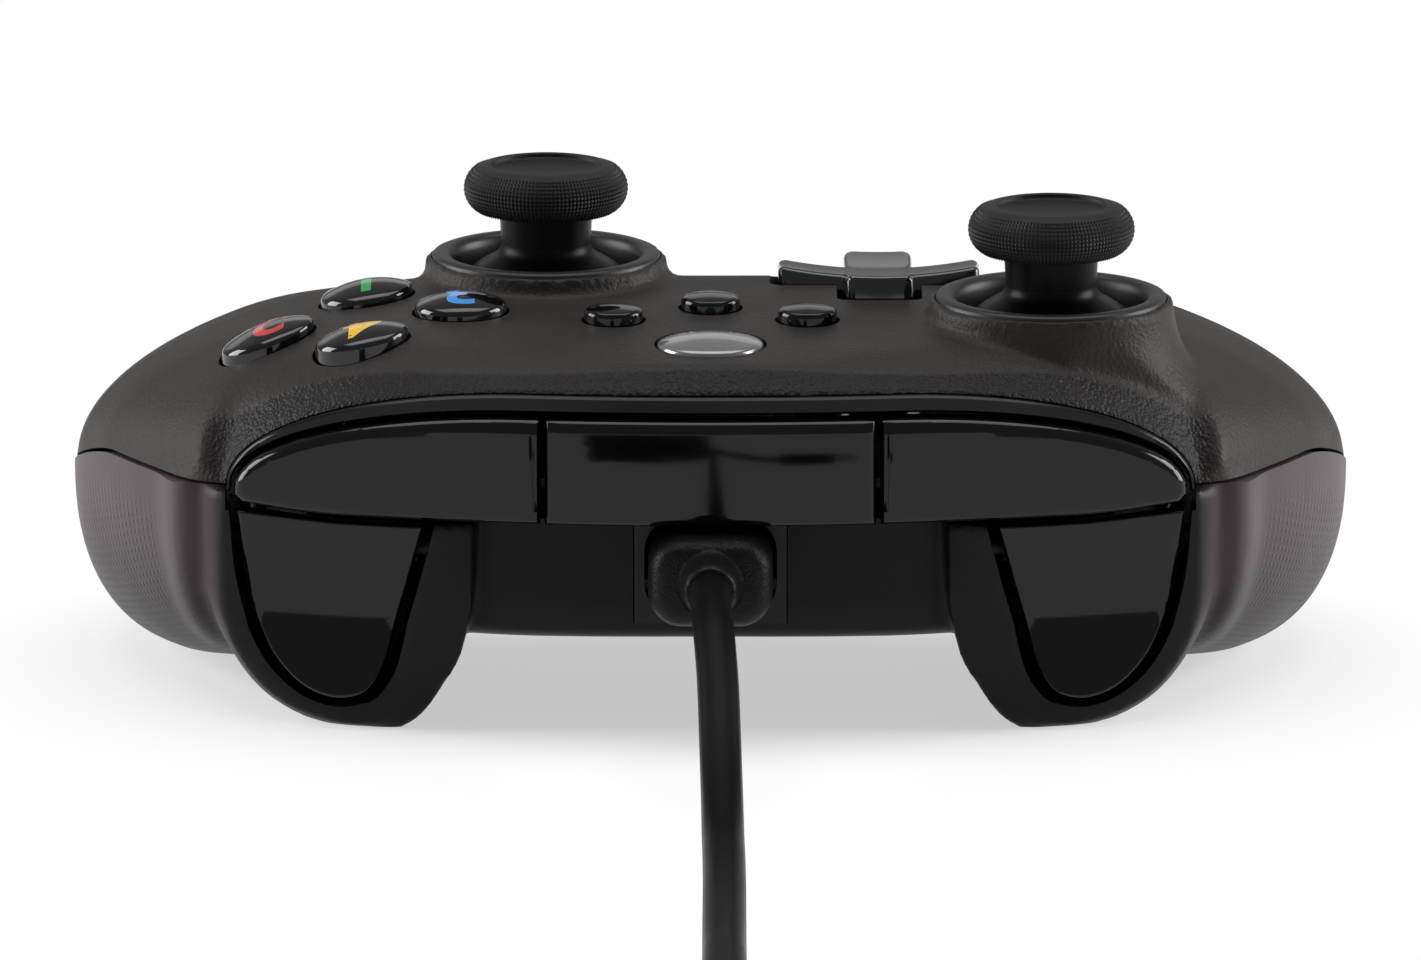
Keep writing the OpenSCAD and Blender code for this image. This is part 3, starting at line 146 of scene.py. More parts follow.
def smooth_path(points: Sequence[Sequence[float]], steps: int) -> list[Vector]:
    """Smooth curve through the points, with a number of steps between each two."""
    count = (len(points) - 1) * steps
    return [spline(points, k / steps) for k in range(count + 1)]


def widened(outline: Sequence[Point2], by: float) -> list[Point2]:
    """Closed outline moved along its own normals.

    Args:
        outline: Points in order round the shape.
        by: Distance outwards, or inwards where negative.

    Returns:
        The moved points.
    """
    count = len(outline)
    area = sum(outline[i - 1][0] * outline[i][1] - outline[i][0] * outline[i - 1][1] for i in range(count))
    turn = 1 if area > 0 else -1
    moved = []
    for i, here in enumerate(outline):
        before, after = Vector(outline[i - 1]), Vector(outline[(i + 1) % count])
        first, second = (Vector(here) - before).normalized(), (after - Vector(here)).normalized()
        along = (first + second).normalized()
        reach = by / max(0.5, along.dot(first))
        moved.append((here[0] + turn * along.y * reach, here[1] - turn * along.x * reach))
    return moved


class Web:
    """A node tree with short ways to add and join nodes."""

    def __init__(self, tree: bpy.types.NodeTree) -> None:
        """Wraps the tree."""
        self.tree = tree

    def add(self, kind: str, **settings: object) -> bpy.types.Node:
        """Adds a node and sets its properties."""
        node = self.tree.nodes.new(kind)
        for key, value in settings.items():
            setattr(node, key, value)
        return node

    def feed(self, socket: Socket, value: object) -> None:
        """Links a socket into an input, or sets the input's number."""
        if isinstance(value, Socket):
            self.tree.links.new(value, socket)
        else:
            socket.default_value = value

    def math(self, operation: str, *values: object) -> Socket:
        """Adds a sum of numbers or sockets and returns its output."""
        node = self.add("ShaderNodeMath", operation=operation)
        for socket, value in zip(node.inputs, values):
            self.feed(socket, value)
        return node.outputs[0]

    def ramp(self, value: object, low: float, high: float, start: float, end: float) -> Socket:
        """Maps a value from one range to another and returns the output."""
        node = self.add("ShaderNodeMapRange")
        for name, given in zip(("Value", "From Min", "From Max", "To Min", "To Max"),
                               (value, low, high, start, end)):
            self.feed(node.inputs[name], given)
        return node.outputs["Result"]

    def blend(self, factor: object, first: Colour, second: Colour) -> Socket:
        """Blends two colours and returns the output."""
        node = self.add("ShaderNodeMix", data_type="RGBA")
        self.feed(node.inputs["Factor"], factor)
        node.inputs[6].default_value = (*first, 1)
        node.inputs[7].default_value = (*second, 1)
        return node.outputs[2]

    def sight(self) -> tuple[Socket, Socket]:
        """Whether the camera looks, and whether a mirror or a lens does."""
        seen = self.add("ShaderNodeLightPath").outputs
        return seen["Is Camera Ray"], self.math("MAXIMUM", seen["Is Glossy Ray"], seen["Is Transmission Ray"])

    def noise(self, vector: object, scale: object, detail: float) -> Socket:
        """Adds a noise texture and returns its value."""
        node = self.add("ShaderNodeTexNoise")
        self.feed(node.inputs["Vector"], vector)
        self.feed(node.inputs["Scale"], scale)
        node.inputs["Detail"].default_value = detail
        return node.outputs[0]


def grain_group() -> bpy.types.NodeTree:
    """Shared effect: fine grain of a moulded skin, and the slow cloud of its wear.

    Returns:
        The node group, made at the first call.
    """
    name = "moulded_grain"
    if name in bpy.data.node_groups:
        return bpy.data.node_groups[name]
    tree = bpy.data.node_groups.new(name, "ShaderNodeTree")
    tree.interface.new_socket("Vector", in_out="INPUT", socket_type="NodeSocketVector")
    tree.interface.new_socket("Scale", in_out="INPUT", socket_type="NodeSocketFloat")
    tree.interface.new_socket("Height", in_out="OUTPUT", socket_type="NodeSocketFloat")
    tree.interface.new_socket("Cloud", in_out="OUTPUT", socket_type="NodeSocketFloat")
    web = Web(tree)
    source, target = web.add("NodeGroupInput"), web.add("NodeGroupOutput")
    fine = web.noise(source.outputs["Vector"], source.outputs["Scale"], 2.0)
    web.feed(target.inputs["Height"], fine)
    slow = web.noise(source.outputs["Vector"], CLOUD_SCALE, CLOUD_DETAIL)
    web.feed(target.inputs["Cloud"], web.math("ADD", web.math("MULTIPLY", slow, CLOUD_SHARE),
                                              web.math("MULTIPLY", fine, 1 - CLOUD_SHARE)))
    return tree


@dataclass(frozen=True)
class Finish:
    """A moulded skin: two near colours, a gloss that varies, and a fine grain.

    Attributes:
        name: Material name.
        colour: Base colour.
        roughness: Middle of its roughness.
        pitch: Size of the grain in mm.
        depth: Depth of the grain in mm.
        spread: How far the roughness varies.
        shade: Share of the colour left in its darker patches.
        metallic: Metal share.
        coat: Weight of a clear coat.
        shine: Level of its mirror reflection.
    """

    name: str
    colour: Colour
    roughness: float
    pitch: float = 0.4
    depth: float = 0.01
    spread: float = 0.06
    shade: float = 0.8
    metallic: float = 0.0
    coat: float = 0.0
    shine: float = 0.5

    def height(self, web: Web, vector: Socket, fine: Socket) -> Socket:
        """Relief of the skin, here only its grain."""
        return fine

    def patchy(self, web: Web, factor: Socket, colour: Colour) -> Socket:
        """A colour with its darker patches."""
        return web.blend(factor, tuple(c * self.shade for c in colour), colour)

    def tint(self, web: Web, vector: Socket, cloud: Socket) -> Socket:
        """Colour of the skin."""
        return self.patchy(web, web.ramp(cloud, *CLOUD_RANGE, 0, 1), self.colour)

    def material(self) -> bpy.types.Material:
        """Makes the material, once.

        Returns:
            The Blender material of this finish.
        """
        skin = f"{self.name}_skin"
        if skin in bpy.data.materials:
            return bpy.data.materials[skin]
        made = bpy.data.materials.new(skin)
        made.use_nodes = True
        web = Web(made.node_tree)
        shader = made.node_tree.nodes["Principled BSDF"]
        vector = web.add("ShaderNodeTexCoord").outputs["Object"]
        grain = web.add("ShaderNodeGroup", node_tree=grain_group())
        web.feed(grain.inputs["Vector"], vector)
        grain.inputs["Scale"].default_value = 1 / (self.pitch * MM)
        cloud = grain.outputs["Cloud"]
        web.feed(shader.inputs["Base Color"], self.tint(web, vector, cloud))
        web.feed(shader.inputs["Roughness"], web.ramp(
            cloud, *CLOUD_RANGE, max(SMOOTHEST, self.roughness - self.spread), self.roughness + self.spread))
        shader.inputs["Metallic"].default_value = self.metallic
        shader.inputs["Coat Weight"].default_value = self.coat
        shader.inputs["Coat Roughness"].default_value = COAT_ROUGHNESS
        shader.inputs["Specular IOR Level"].default_value = self.shine
        bump = web.add("ShaderNodeBump")
        bump.inputs["Strength"].default_value = 1.0
        bump.inputs["Distance"].default_value = self.depth * MM
        web.feed(bump.inputs["Height"], self.height(web, vector, grain.outputs["Height"]))
        web.feed(shader.inputs["Normal"], bump.outputs["Normal"])
        return made


@dataclass(frozen=True)
class MaskedFinish(Finish):
    """Skin with a second colour where a mask on the points says so."""

    tint_mask: str = ""
    second: Colour = (0.0, 0.0, 0.0)

    def masked(self, web: Web, mask: str) -> Socket:
        """Output of a mask's attribute."""
        return web.add("ShaderNodeAttribute", attribute_name=mask).outputs["Fac"]

    def tint(self, web: Web, vector: Socket, cloud: Socket) -> Socket:
        """Colour of the skin, and its second colour in the mask."""
        node = web.add("ShaderNodeMix", data_type="RGBA")
        web.feed(node.inputs["Factor"], self.masked(web, self.tint_mask))
        web.feed(node.inputs[6], super().tint(web, vector, cloud))
        web.feed(node.inputs[7], self.patchy(web, cloud, self.second))
        return node.outputs[2]


@dataclass(frozen=True)
class LippedFinish(MaskedFinish):
    """Grained skin with a band of coarser grain in the mask."""

    coarse_pitch: float = 0.45
    coarse_gain: float = 1.1

    def height(self, web: Web, vector: Socket, fine: Socket) -> Socket:
        """Fine grain, with coarse cells added in the band."""
        cells = web.add("ShaderNodeTexVoronoi")
        web.feed(cells.inputs["Vector"], vector)
        cells.inputs["Scale"].default_value = 1 / (self.coarse_pitch * MM)
        coarse = web.math("MULTIPLY", cells.outputs["Distance"], self.masked(web, self.tint_mask))
        return web.math("SUBTRACT", fine, web.math("MULTIPLY", coarse, self.coarse_gain))


@dataclass(frozen=True)
class GripFinish(MaskedFinish):
    """Satin skin with a painted sheen, paler in a mask where the side lamps' light falls on the grips, with
    rows of small raised dots in a second mask.
    """

    dot_mask: str = "grip"
    dot_pitch: float = 1.25
    dot_gain: float = 9.0
    dot_slant: float = 0.7

    def height(self, web: Web, vector: Socket, fine: Socket) -> Socket:
        """Grain with dots set in diamond rows round the grip."""
        parts = web.add("ShaderNodeSeparateXYZ")
        web.feed(parts.inputs[0], vector)
        across = web.math("ADD", parts.outputs["Z"],
                          web.math("MULTIPLY", web.math("ABSOLUTE", parts.outputs["X"]), self.dot_slant))
        turn = 2 * math.pi / (self.dot_pitch * MM * 2)
        waves = [web.math("SINE", web.math("MULTIPLY", web.math(kind, parts.outputs["Y"], across), turn))
                 for kind in ("ADD", "SUBTRACT")]
        dots = web.math("MAXIMUM", web.math("MULTIPLY", *waves), 0.0)
        shown = web.math("MULTIPLY", dots, self.masked(web, self.dot_mask))
        return web.math("ADD", fine, web.math("MULTIPLY", shown, self.dot_gain))


def figure_finish(name: str, colour: Colour) -> Finish:
    """Print under the clear gloss of a face button."""
    return Finish(f"figure_{name}", colour, 0.3, 0.3, 0.002, 0.04, 0.9, 0.0, 1.0)


@dataclass(frozen=True)
class Palette:
    """Every finish of the pad."""

    grained_black: Finish = LippedFinish("grained_black", (0.0255, 0.0206, 0.0187), 0.5, 0.5, 0.13, shine=0.2,
                                         tint_mask="lip", second=(0.00918, 0.007416, 0.006732))
    # The pale second colour of satin_black is a painted sheen on the grips, standing in for the side lamps'
    # light.
    satin_black: Finish = GripFinish("satin_black", (0.0075, 0.0075, 0.0088), 0.42, 0.3, 0.012, 0.05, 0.86,
                                     shine=0.16, tint_mask="rubbed", second=(0.084, 0.064, 0.068))
    gloss_black: Finish = Finish("gloss_black", (0.003, 0.003, 0.0036),
                                 0.07, 0.9, 0.0008, 0.025, 0.8, shine=0.32)
    pad_black: Finish = Finish("pad_black", (0.005, 0.005, 0.0056),
                               0.12, 0.9, 0.0008, 0.025, 0.8, shine=0.8)
    bezel_black: Finish = Finish("bezel_black", (0.004, 0.004, 0.0046),
                                 0.2, 0.6, 0.002, 0.04, 0.8, shine=0.22)
    stick_stem: Finish = Finish("stick_stem", (0.0018, 0.0018, 0.0024), 0.34, 0.4, 0.004, shine=0.1)
    ring_black: Finish = Finish("ring_black", (0.012, 0.0118, 0.012), 0.4, 0.4, 0.006, shine=0.35)
    stick_rubber: Finish = Finish("stick_rubber", (0.008, 0.008, 0.008), 0.55, 0.3, 0.006, shine=0.25)
    smoked_lens: Finish = Finish("smoked_lens", (0.004, 0.004, 0.0044),
                                 0.1, 0.8, 0.001, 0.03, 0.8, 0.0, 0.45, 0.3)
    silver_lens: Finish = Finish("silver_lens", (0.23, 0.23, 0.24), 0.2, 0.25, 0.003, 0.05, 0.86, 0.4, 0.8)
    steel: Finish = Finish("steel", (0.6, 0.6, 0.61), 0.3, 0.25, 0.004, 0.08, 0.85, 1.0)
    dark_steel: Finish = Finish("dark_steel", (0.03, 0.03, 0.032), 0.45, 0.25, 0.004, 0.08, 0.85, 0.8)
    motor_can: Finish = Finish("motor_can", (0.5, 0.5, 0.51), 0.36, 0.3, 0.005, 0.08, 0.85, 1.0)
    circuit_board: Finish = Finish("circuit_board", (0.03, 0.16, 0.06), 0.4, 0.9, 0.01, 0.06, 0.7)
    module_plastic: Finish = Finish("module_plastic", (0.07, 0.07, 0.074), 0.5)
    gimbal_plastic: Finish = Finish("gimbal_plastic", (0.62, 0.62, 0.6), 0.5)
    mat_rubber: Finish = Finish("mat_rubber", (0.17, 0.17, 0.18), 0.75, 0.3, 0.015)
    overmould: Finish = Finish("overmould", (0.003, 0.003, 0.0036), 0.42, 0.36, 0.13, 0.06, 0.6, shine=0.18)
    cord_sheath: Finish = Finish("cord_sheath", (0.003, 0.003, 0.0038), 0.42, 0.5, 0.01, 0.06, 0.6, shine=0.1)
    tie_wire: Finish = Finish("tie_wire", (0.02, 0.02, 0.02), 0.5)
    green: Finish = figure_finish("green", (0.01, 0.36, 0.08))
    red: Finish = figure_finish("red", (0.62, 0.02, 0.03))
    blue: Finish = figure_finish("blue", (0.03, 0.3, 0.85))
    yellow: Finish = figure_finish("yellow", (0.95, 0.56, 0.0))
    floor: Finish = Finish("floor_white", (0.93, 0.93, 0.93), 0.9, 5.0, 0.0, 0.02, 0.99)


class Blank:
    """A workpiece in millimetres that becomes a mesh object in metres."""

    def __init__(self) -> None:
        """Starts with no geometry, and two marks on each point for sheets."""
        self.bm = bmesh.new()
        self.setback = self.bm.verts.layers.float.new("setback")
        self.back = self.bm.verts.layers.float.new("back")

    def lathe(self, profile: Sequence[Point2], steps: int = 72, place: Matrix | None = None) -> "Blank":
        """Turns a profile of radius and height about the z axis.

        Args:
            profile: Points from the axis to the axis, or a closed ring.
            steps: Number of faces round.
            place: Where the turned solid goes.

        Returns:
            The same blank.
        """
        verts = [self.bm.verts.new((r, 0, z)) for r, z in profile]
        edges = [self.bm.edges.new(pair) for pair in zip(verts, verts[1:])]
        old = set(self.bm.verts) - set(verts)
        bmesh.ops.spin(self.bm, geom=verts + edges, cent=(0, 0, 0), axis=(0, 0, 1), dvec=(0, 0, 0),
                       angle=2 * math.pi, steps=steps, use_merge=True, use_duplicate=False)
        new = [v for v in self.bm.verts if v not in old]
        bmesh.ops.remove_doubles(self.bm, verts=new, dist=1e-4)
        new = [v for v in self.bm.verts if v not in old]
        if place is not None:
            bmesh.ops.transform(self.bm, matrix=place, verts=new)
        return self

    def rod(self, radius: float, low: float, high: float, steps: int, place: Matrix | None = None) -> "Blank":
        """Adds a cylinder between two heights."""
        return self.lathe([(0, low), (radius, low), (radius, high), (0, high)], steps, place)

    def tube(self, bore: float, radius: float, low: float, high: float, steps: int, place: Matrix) -> "Blank":
        """Adds a ring between two heights."""
        ring = [(bore, low), (radius, low), (radius, high), (bore, high), (bore, low)]
        return self.lathe(ring, steps, place)

    def prism(self, outline: Sequence[Point2], low: float, high: float,
              place: Matrix | None = None) -> "Blank":
        """Adds a straight prism of an outline in x and y, between two heights."""
        face = self.bm.faces.new([self.bm.verts.new((x, y, low)) for x, y in outline])
        raised = bmesh.ops.extrude_face_region(self.bm, geom=[face])["geom"]
        top = [v for v in raised if isinstance(v, bmesh.types.BMVert)]
        bmesh.ops.translate(self.bm, vec=(0, 0, high - low), verts=top)
        if place is not None:
            bmesh.ops.transform(self.bm, matrix=place, verts=list({v for v in face.verts} | set(top)))
        return self

    def ball(self, centre: Vector, radius: float) -> "Blank":
        """Adds a sphere."""
        bmesh.ops.create_uvsphere(self.bm, u_segments=64, v_segments=32, radius=radius,
                                  matrix=Matrix.Translation(centre))
        return self

    def loops(self, rings: Sequence[Sequence[Vector]]) -> "Blank":
        """Bridges closed rings of points one after another and caps both ends."""
        made = []
        for ring in rings:
            verts = [self.bm.verts.new(p) for p in ring]
            made.append([self.bm.edges.new((verts[i - 1], verts[i])) for i in range(len(verts))])
        for first, second in zip(made, made[1:]):
            bmesh.ops.bridge_loops(self.bm, edges=first + second)
        for ring in (made[0], made[-1]):
            bmesh.ops.contextual_create(self.bm, geom=ring)
        return self

    def patch(self, columns: int, rows: int, skin: Callable[[float, float], Vector],
              under: Callable[[float, float], Vector]) -> "Blank":
        """Adds a closed solid between two skins over a unit square.

        Args:
            columns: Steps along the first share.
            rows: Steps along the second share.
            skin: Point of the first skin at two shares.
            under: Point of the second skin at two shares.

        Returns:
            The same blank.
        """
        old = set(self.bm.verts)
        bmesh.ops.create_grid(self.bm, x_segments=columns, y_segments=rows, size=1)
        grid = [v for v in self.bm.verts if v not in old]
        faces = [f for f in self.bm.faces if f.verts[0] not in old]
        shares = {v: (0.5 + v.co.x / 2, 0.5 + v.co.y / 2) for v in grid}
        raised = bmesh.ops.extrude_face_region(self.bm, geom=faces)["geom"]
        copies = [v for v in raised if isinstance(v, bmesh.types.BMVert)]
        for v in copies:
            v.co = under(0.5 + v.co.x / 2, 0.5 + v.co.y / 2)
        for v, share in shares.items():
            v.co = skin(*share)
        return self

    def sheet(self, outline: Sequence[Point2], rounding: Sequence[Point2], cuts_u: Iterable[float],
              cuts_v: Iterable[float], warp: Warp) -> "Blank":
        """Adds a bent plate with rounded front edges.

        Args:
            outline: Closed outline in two flat directions.
            rounding: Pairs of inset width and the setback left after it, the outline's own setback first.
            cuts_u: Places where the plate is cut across, so that it can bend.
            cuts_v: The same in the second direction.
            warp: Gives a point from the two flat places, the setback and 0 for the front or 1 for the back.

        Returns:
            The same blank.
        """
        old = set(self.bm.verts)
        inset, outer = 0.0, []
        for width, setback in rounding:
            inset += width
            ring = [self.bm.verts.new((u, v, 0)) for u, v in widened(outline, -inset)]
            for vert in ring:
                vert[self.setback] = setback
            for i in range(len(outer)):
                self.bm.faces.new((outer[i - 1], outer[i], ring[i], ring[i - 1]))
            outer = ring
        self.bm.faces.new(outer)
        for axis, cuts in ((0, cuts_u), (1, cuts_v)):
            normal = Vector((1, 0, 0)) if axis == 0 else Vector((0, 1, 0))
            for cut in cuts:
                verts = [v for v in self.bm.verts if v not in old]
                near = {f for v in verts for f in v.link_faces}
                lines = {e for v in verts for e in v.link_edges}
                bmesh.ops.bisect_plane(self.bm, geom=verts + list(lines) + list(near), dist=1e-4,
                                       plane_co=normal * cut, plane_no=normal)
        front = [v for v in self.bm.verts if v not in old]
        faces = list({f for v in front for f in v.link_faces})
        raised = bmesh.ops.extrude_face_region(self.bm, geom=faces)["geom"]
        rear = [v for v in raised if isinstance(v, bmesh.types.BMVert)]
        for vert in rear:
            vert[self.back] = 1.0
        for vert in front + rear:
            is_back = vert[self.back]
            vert.co = warp(vert.co.x, vert.co.y, vert[self.setback] * (1 - is_back), is_back)
        return self

    def flip(self) -> "Blank":
        """Mirrors the whole workpiece to the other side."""
        bmesh.ops.scale(self.bm, vec=(-1, 1, 1), verts=self.bm.verts)
        bmesh.ops.reverse_faces(self.bm, faces=self.bm.faces)
        return self

    def moved(self, place: Matrix) -> "Blank":
        """Moves the whole workpiece."""
        bmesh.ops.transform(self.bm, matrix=place, verts=self.bm.verts)
        return self

    def mesh(self, name: str, sharp: float = 38.0) -> Piece:
        """Ends the work: a mesh object in metres, smooth except at sharp edges.

        Args:
            name: Name of the object.
            sharp: Angle in degrees from which an edge stays sharp.

        Returns:
            The new object, at the origin.
        """
        bmesh.ops.recalc_face_normals(self.bm, faces=self.bm.faces)
        bmesh.ops.scale(self.bm, vec=(MM, MM, MM), verts=self.bm.verts)
        self.bm.verts.layers.float.remove(self.bm.verts.layers.float["setback"])
        self.bm.verts.layers.float.remove(self.bm.verts.layers.float["back"])
        data = bpy.data.meshes.new(name)
        self.bm.to_mesh(data)
        self.bm.free()
        made = bpy.data.objects.new(name, data)
        bpy.context.scene.collection.objects.link(made)
        shade(made, sharp)
        return made


def shade(piece: Piece, sharp: float) -> None:
    """Shades a mesh smooth, with edges sharp from an angle in degrees."""
    piece.data.shade_smooth()
    piece.data.set_sharp_from_angle(angle=math.radians(sharp))


def apply_modifiers(piece: Piece) -> None:
    """Puts the result of an object's modifiers into its mesh."""
    graph = bpy.context.evaluated_depsgraph_get()
    old = piece.data
    piece.data = bpy.data.meshes.new_from_object(piece.evaluated_get(graph))
    piece.modifiers.clear()
    bpy.data.meshes.remove(old)


def soften(piece: Piece, rounds: int, group: str = "") -> None:
    """Smooths a mesh a number of rounds, where a vertex group says so if it is named."""
    smooth = piece.modifiers.new("soften", "SMOOTH")
    smooth.factor = 0.5
    smooth.iterations = rounds
    smooth.vertex_group = group
    apply_modifiers(piece)


def carve(piece: Piece, *cutters: Blank) -> None:
    """Cuts workpieces out of an object, one after another."""
    for i, blank in enumerate(cutters):
        cutter = blank.mesh(f"cutter_{i}")
        cut = piece.modifiers.new("cut", "BOOLEAN")
        cut.operation = "DIFFERENCE"
        cut.solver = "MANIFOLD"
        cut.object = cutter
        apply_modifiers(piece)
        data = cutter.data
        bpy.data.objects.remove(cutter)
        bpy.data.meshes.remove(data)


def dress(piece: Piece, finish: Finish, body: str, slot: str, *nodes: str) -> Piece:
    """Gives a piece its finish, the body it moves with and the CAD nodes it stands for."""
    piece.data.materials.clear()
    piece.data.materials.append(finish.material())
    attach(piece, body)
    if nodes:
        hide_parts(*nodes)
    LOG.info("piece %s on %s", piece.name, body)
    return piece


@dataclass(frozen=True)
class BodyForm:
    """Skin of the pad in mm: q is the distance behind the front, y is q less half the depth."""

    depth: float = 102.0
    front_r: float = 135.0
    tilt: float = 3.0
    lip_q: float = 2.5
    lip_w: float = 4.0
    deck_z0: float = 43.9
    seam_z0: float = 28.0
    arch_flat: float = 22.0
    arch_reach: float = 35.4
    arch_h: float = 13.0
    panel_top: float = 25.2
    belly: float = 10.0
    tip_round: float = 24.0
    seam_gap: float = 0.3
    seam_slope: float = 0.27
    seam_from: float = 37.0
    seam_soft: float = 8.0
    crown: float = 1.15
    crown_q: float = 45.0
    rear_fall: float = 0.016
    rear_from: float = 60.0
    roll_least: float = 30.0
    roll_most: float = 60.0
    roll_gain: float = 0.7
    roll_from: float = 17.0
    lip_share: float = 0.16
    crease_fall: float = 1.6
    fall_x: float = 32.0
    fall_s: float = 7.0
    arch_angles: tuple[float, ...] = (25, 45, 62, 77, 90)
    corner_x: float = 61.2
    corner_back: float = 2.6
    sides: tuple[Point2, ...] = ((66, 26.5), (72.4, 41), (76.3, 55), (77, 63), (76.3, 73), (73.6, 84.5),
                                 (69.2, 93.4), (65, 98.6), (61.4, 101.9))
    inner: tuple[Point2, ...] = (
        (0, 72), (6, 72), (11.5, 72), (17, 72.1), (21.5, 72.4), (25, 72.8), (28, 73.4), (30.3, 74),
        (32.2, 74.6), (34.4, 75.8), (37, 77.7), (39.6, 80.4), (41.5, 83), (44.2, 87), (48, 92.4), (52.4, 97.1), (57, 100.4),
        (60.7, 102))
    lower_front: tuple[Point2, ...] = ((0, 9), (11, 9), (22, 9.3), (36, 12.5), (46.5, 14.6), (53, 16),
                                       (57.4, 17.2), (60.4, 18.2))
    lower_rise: tuple[float, ...] = (0, 0, 0, 0.2, 1, 2, 2.6, 2.6, 2.6)
    belly_drop: tuple[float, ...] = (0, 0, 0, 0.2, 0.7, 1.6, 2.8, 4.1, 5.7, 8, 9.8, 10.5, 10.6, 10.6, 10.3,
                                     9.5, 8.3, 7.1)
    boxiness: tuple[float, ...] = (12, 12, 11, 8, 6, 4.6, 3.7, 3.3, 3, 2.7, 2.5, 2.4, 2.35, 2.3, 2.2, 2.1,
                                   2, 2)

    def y(self, q: float) -> float:
        """Place in the frame of a distance behind the front."""
        return q - self.depth / 2

    def bulge(self, x: float) -> float:
        """How far the front falls back at a place across."""
        return self.front_r - math.sqrt(self.front_r ** 2 - x * x)

    def behind_front(self, x: float, q: float) -> float:
        """Distance behind the front's arc."""
        return self.front_r - math.hypot(x, self.front_r - q)

    def arc_y(self, x: float, depth: float) -> float:
        """Place in the frame of a depth behind the front's arc."""
        return self.y(self.front_r - math.sqrt((self.front_r - depth) ** 2 - x * x))

    def crease_q(self) -> float:
        """Where the lip meets the deck, at the middle."""
        return self.lip_q + self.lip_w

    def deck_z(self, q: float) -> float:
        """Height of the plane of the deck."""
        return self.deck_z0 + (q - self.crease_q()) * math.tan(math.radians(self.tilt))

    def seam_z(self, q: float) -> float:
        """Height of the seam between the shells."""
        fall = math.hypot(max(0.0, q - self.seam_from), self.seam_soft) - self.seam_soft
        return self.seam_z0 - self.seam_slope * fall

    def crest_z(self, q: float) -> float:
        """Height of the skin along the middle."""
        turn = math.radians(90 * (q - self.crease_q()) / self.crown_q)
        behind = max(0.0, q - self.rear_from)
        return self.deck_z(q) + self.crown * math.sin(turn) - self.rear_fall * behind ** 2

    def side_roll(self, q: float) -> float:
        """Width over which the skin rolls down to its side."""
        return min(self.roll_most, self.roll_least + self.roll_gain * max(0.0, q - self.roll_from))

    def corner_q(self) -> float:
        """Distance behind the front of the front corner."""
        return self.lip_q + self.bulge(self.arch_flat + self.arch_reach) + self.corner_back

    def side_x(self, q: float) -> float:
        """Half width of the pad."""
        table = [(0.0, self.corner_x + 1), (self.corner_q(), self.corner_x), *((b, a) for a, b in self.sides)]
        for (q0, x0), (q1, x1) in zip(table, table[1:]):
            if q <= q1:
                return mix(x0, x1, (q - q0) / (q1 - q0))
        return table[-1][1]

    def upper_z(self, x: float, q: float) -> float:
        """Height of the upper skin."""
        seam = self.seam_z(q)
        return seam + (self.crest_z(q) - seam) * roll((self.side_x(q) - abs(x)) / self.side_roll(q))

    def lean(self, x: float, q: float) -> float:
        """Slope of the upper skin across, in radians."""
        return math.atan((self.upper_z(x + 1, q) - self.upper_z(x - 1, q)) / 2)

    def skin_h(self, x: float, q: float) -> float:
        """Height of the skin over the plane of the deck."""
        return self.upper_z(x, q) - self.deck_z(q)

    def arch_z(self, x: float) -> float:
        """Height of the shoulder arch."""
        if abs(x) <= self.arch_flat:
            return self.seam_z0 + self.arch_h
        share = (abs(x) - self.arch_flat) / self.arch_reach
        return self.seam_z0 + self.arch_h * math.sqrt(max(0.0, 1 - share * share))

    def front_rows(self) -> list[Point2]:
        """Front edge of the upper shell, from the middle to the corner of the arch."""
        places = [0.0, self.arch_flat / 2, self.arch_flat]
        places += [self.arch_flat + self.arch_reach * math.sin(math.radians(a)) for a in self.arch_angles]
        return [(x, self.lip_q + self.bulge(x)) for x in places]

    def rows(self) -> int:
        """Number of the last row from the middle."""
        return len(self.inner) - 1

    def ends(self, row: float, lower: bool) -> tuple[Vector, Vector]:
        """Front and rear end of a row of the skin, as x and q."""
        front = list(self.lower_front) if lower else self.front_rows()
        outer = front + [(self.corner_x, self.corner_q())] + list(self.sides)
        mirrored = [[(-edge[1][0], edge[1][1]), *edge] for edge in (outer, list(self.inner))]
        return spline(mirrored[0], row + 1), spline(mirrored[1], row + 1)

    def upper_point(self, row: float, share: float, inset: float, skin: bool) -> Vector:
        """Point of the upper shell.

        Args:
            row: Row from the middle, negative on the player's right.
            share: Share along the row, from the front to the rear.
            inset: Depth under the skin.
            skin: True for the skin, False for the plane between the two rims.

        Returns:
            The point in mm.
        """
        r = abs(row)
        a, b = self.ends(r, False)
        length = (b - a).length
        lip = min(self.lip_w, length / 6)
        s = lip * share / self.lip_share
        if share >= self.lip_share:
            turn = (share - self.lip_share) / (1 - self.lip_share) * math.pi / 2
            s = mix(lip, length, math.sin(turn))
        here, at_lip = a.lerp(b, s / length), a.lerp(b, lip / length)
        z_a = self.arch_z(a.x) if r <= 7 else self.seam_z(a.y)
        rim = mix(z_a, self.seam_z(b.y), s / length)
        z = rim
        if skin:
            front = 1 - eased(r - 7)
            fall = self.crease_fall * eased(a.x / self.fall_x) * front
            top = self.upper_z(here.x, here.y) - inset - fall * max(0.0, 1 - (s - lip) / self.fall_s) ** 2
            if s < lip:
                edge = mix(z_a, self.upper_z(at_lip.x, at_lip.y) - fall, s / lip) - inset
                top = mix(top, edge, front)
            z = rim + max(0.0, top - rim) * roll((length - s) / min(self.tip_round, length / 2))
        return Vector((math.copysign(here.x, row), self.y(here.y), z))

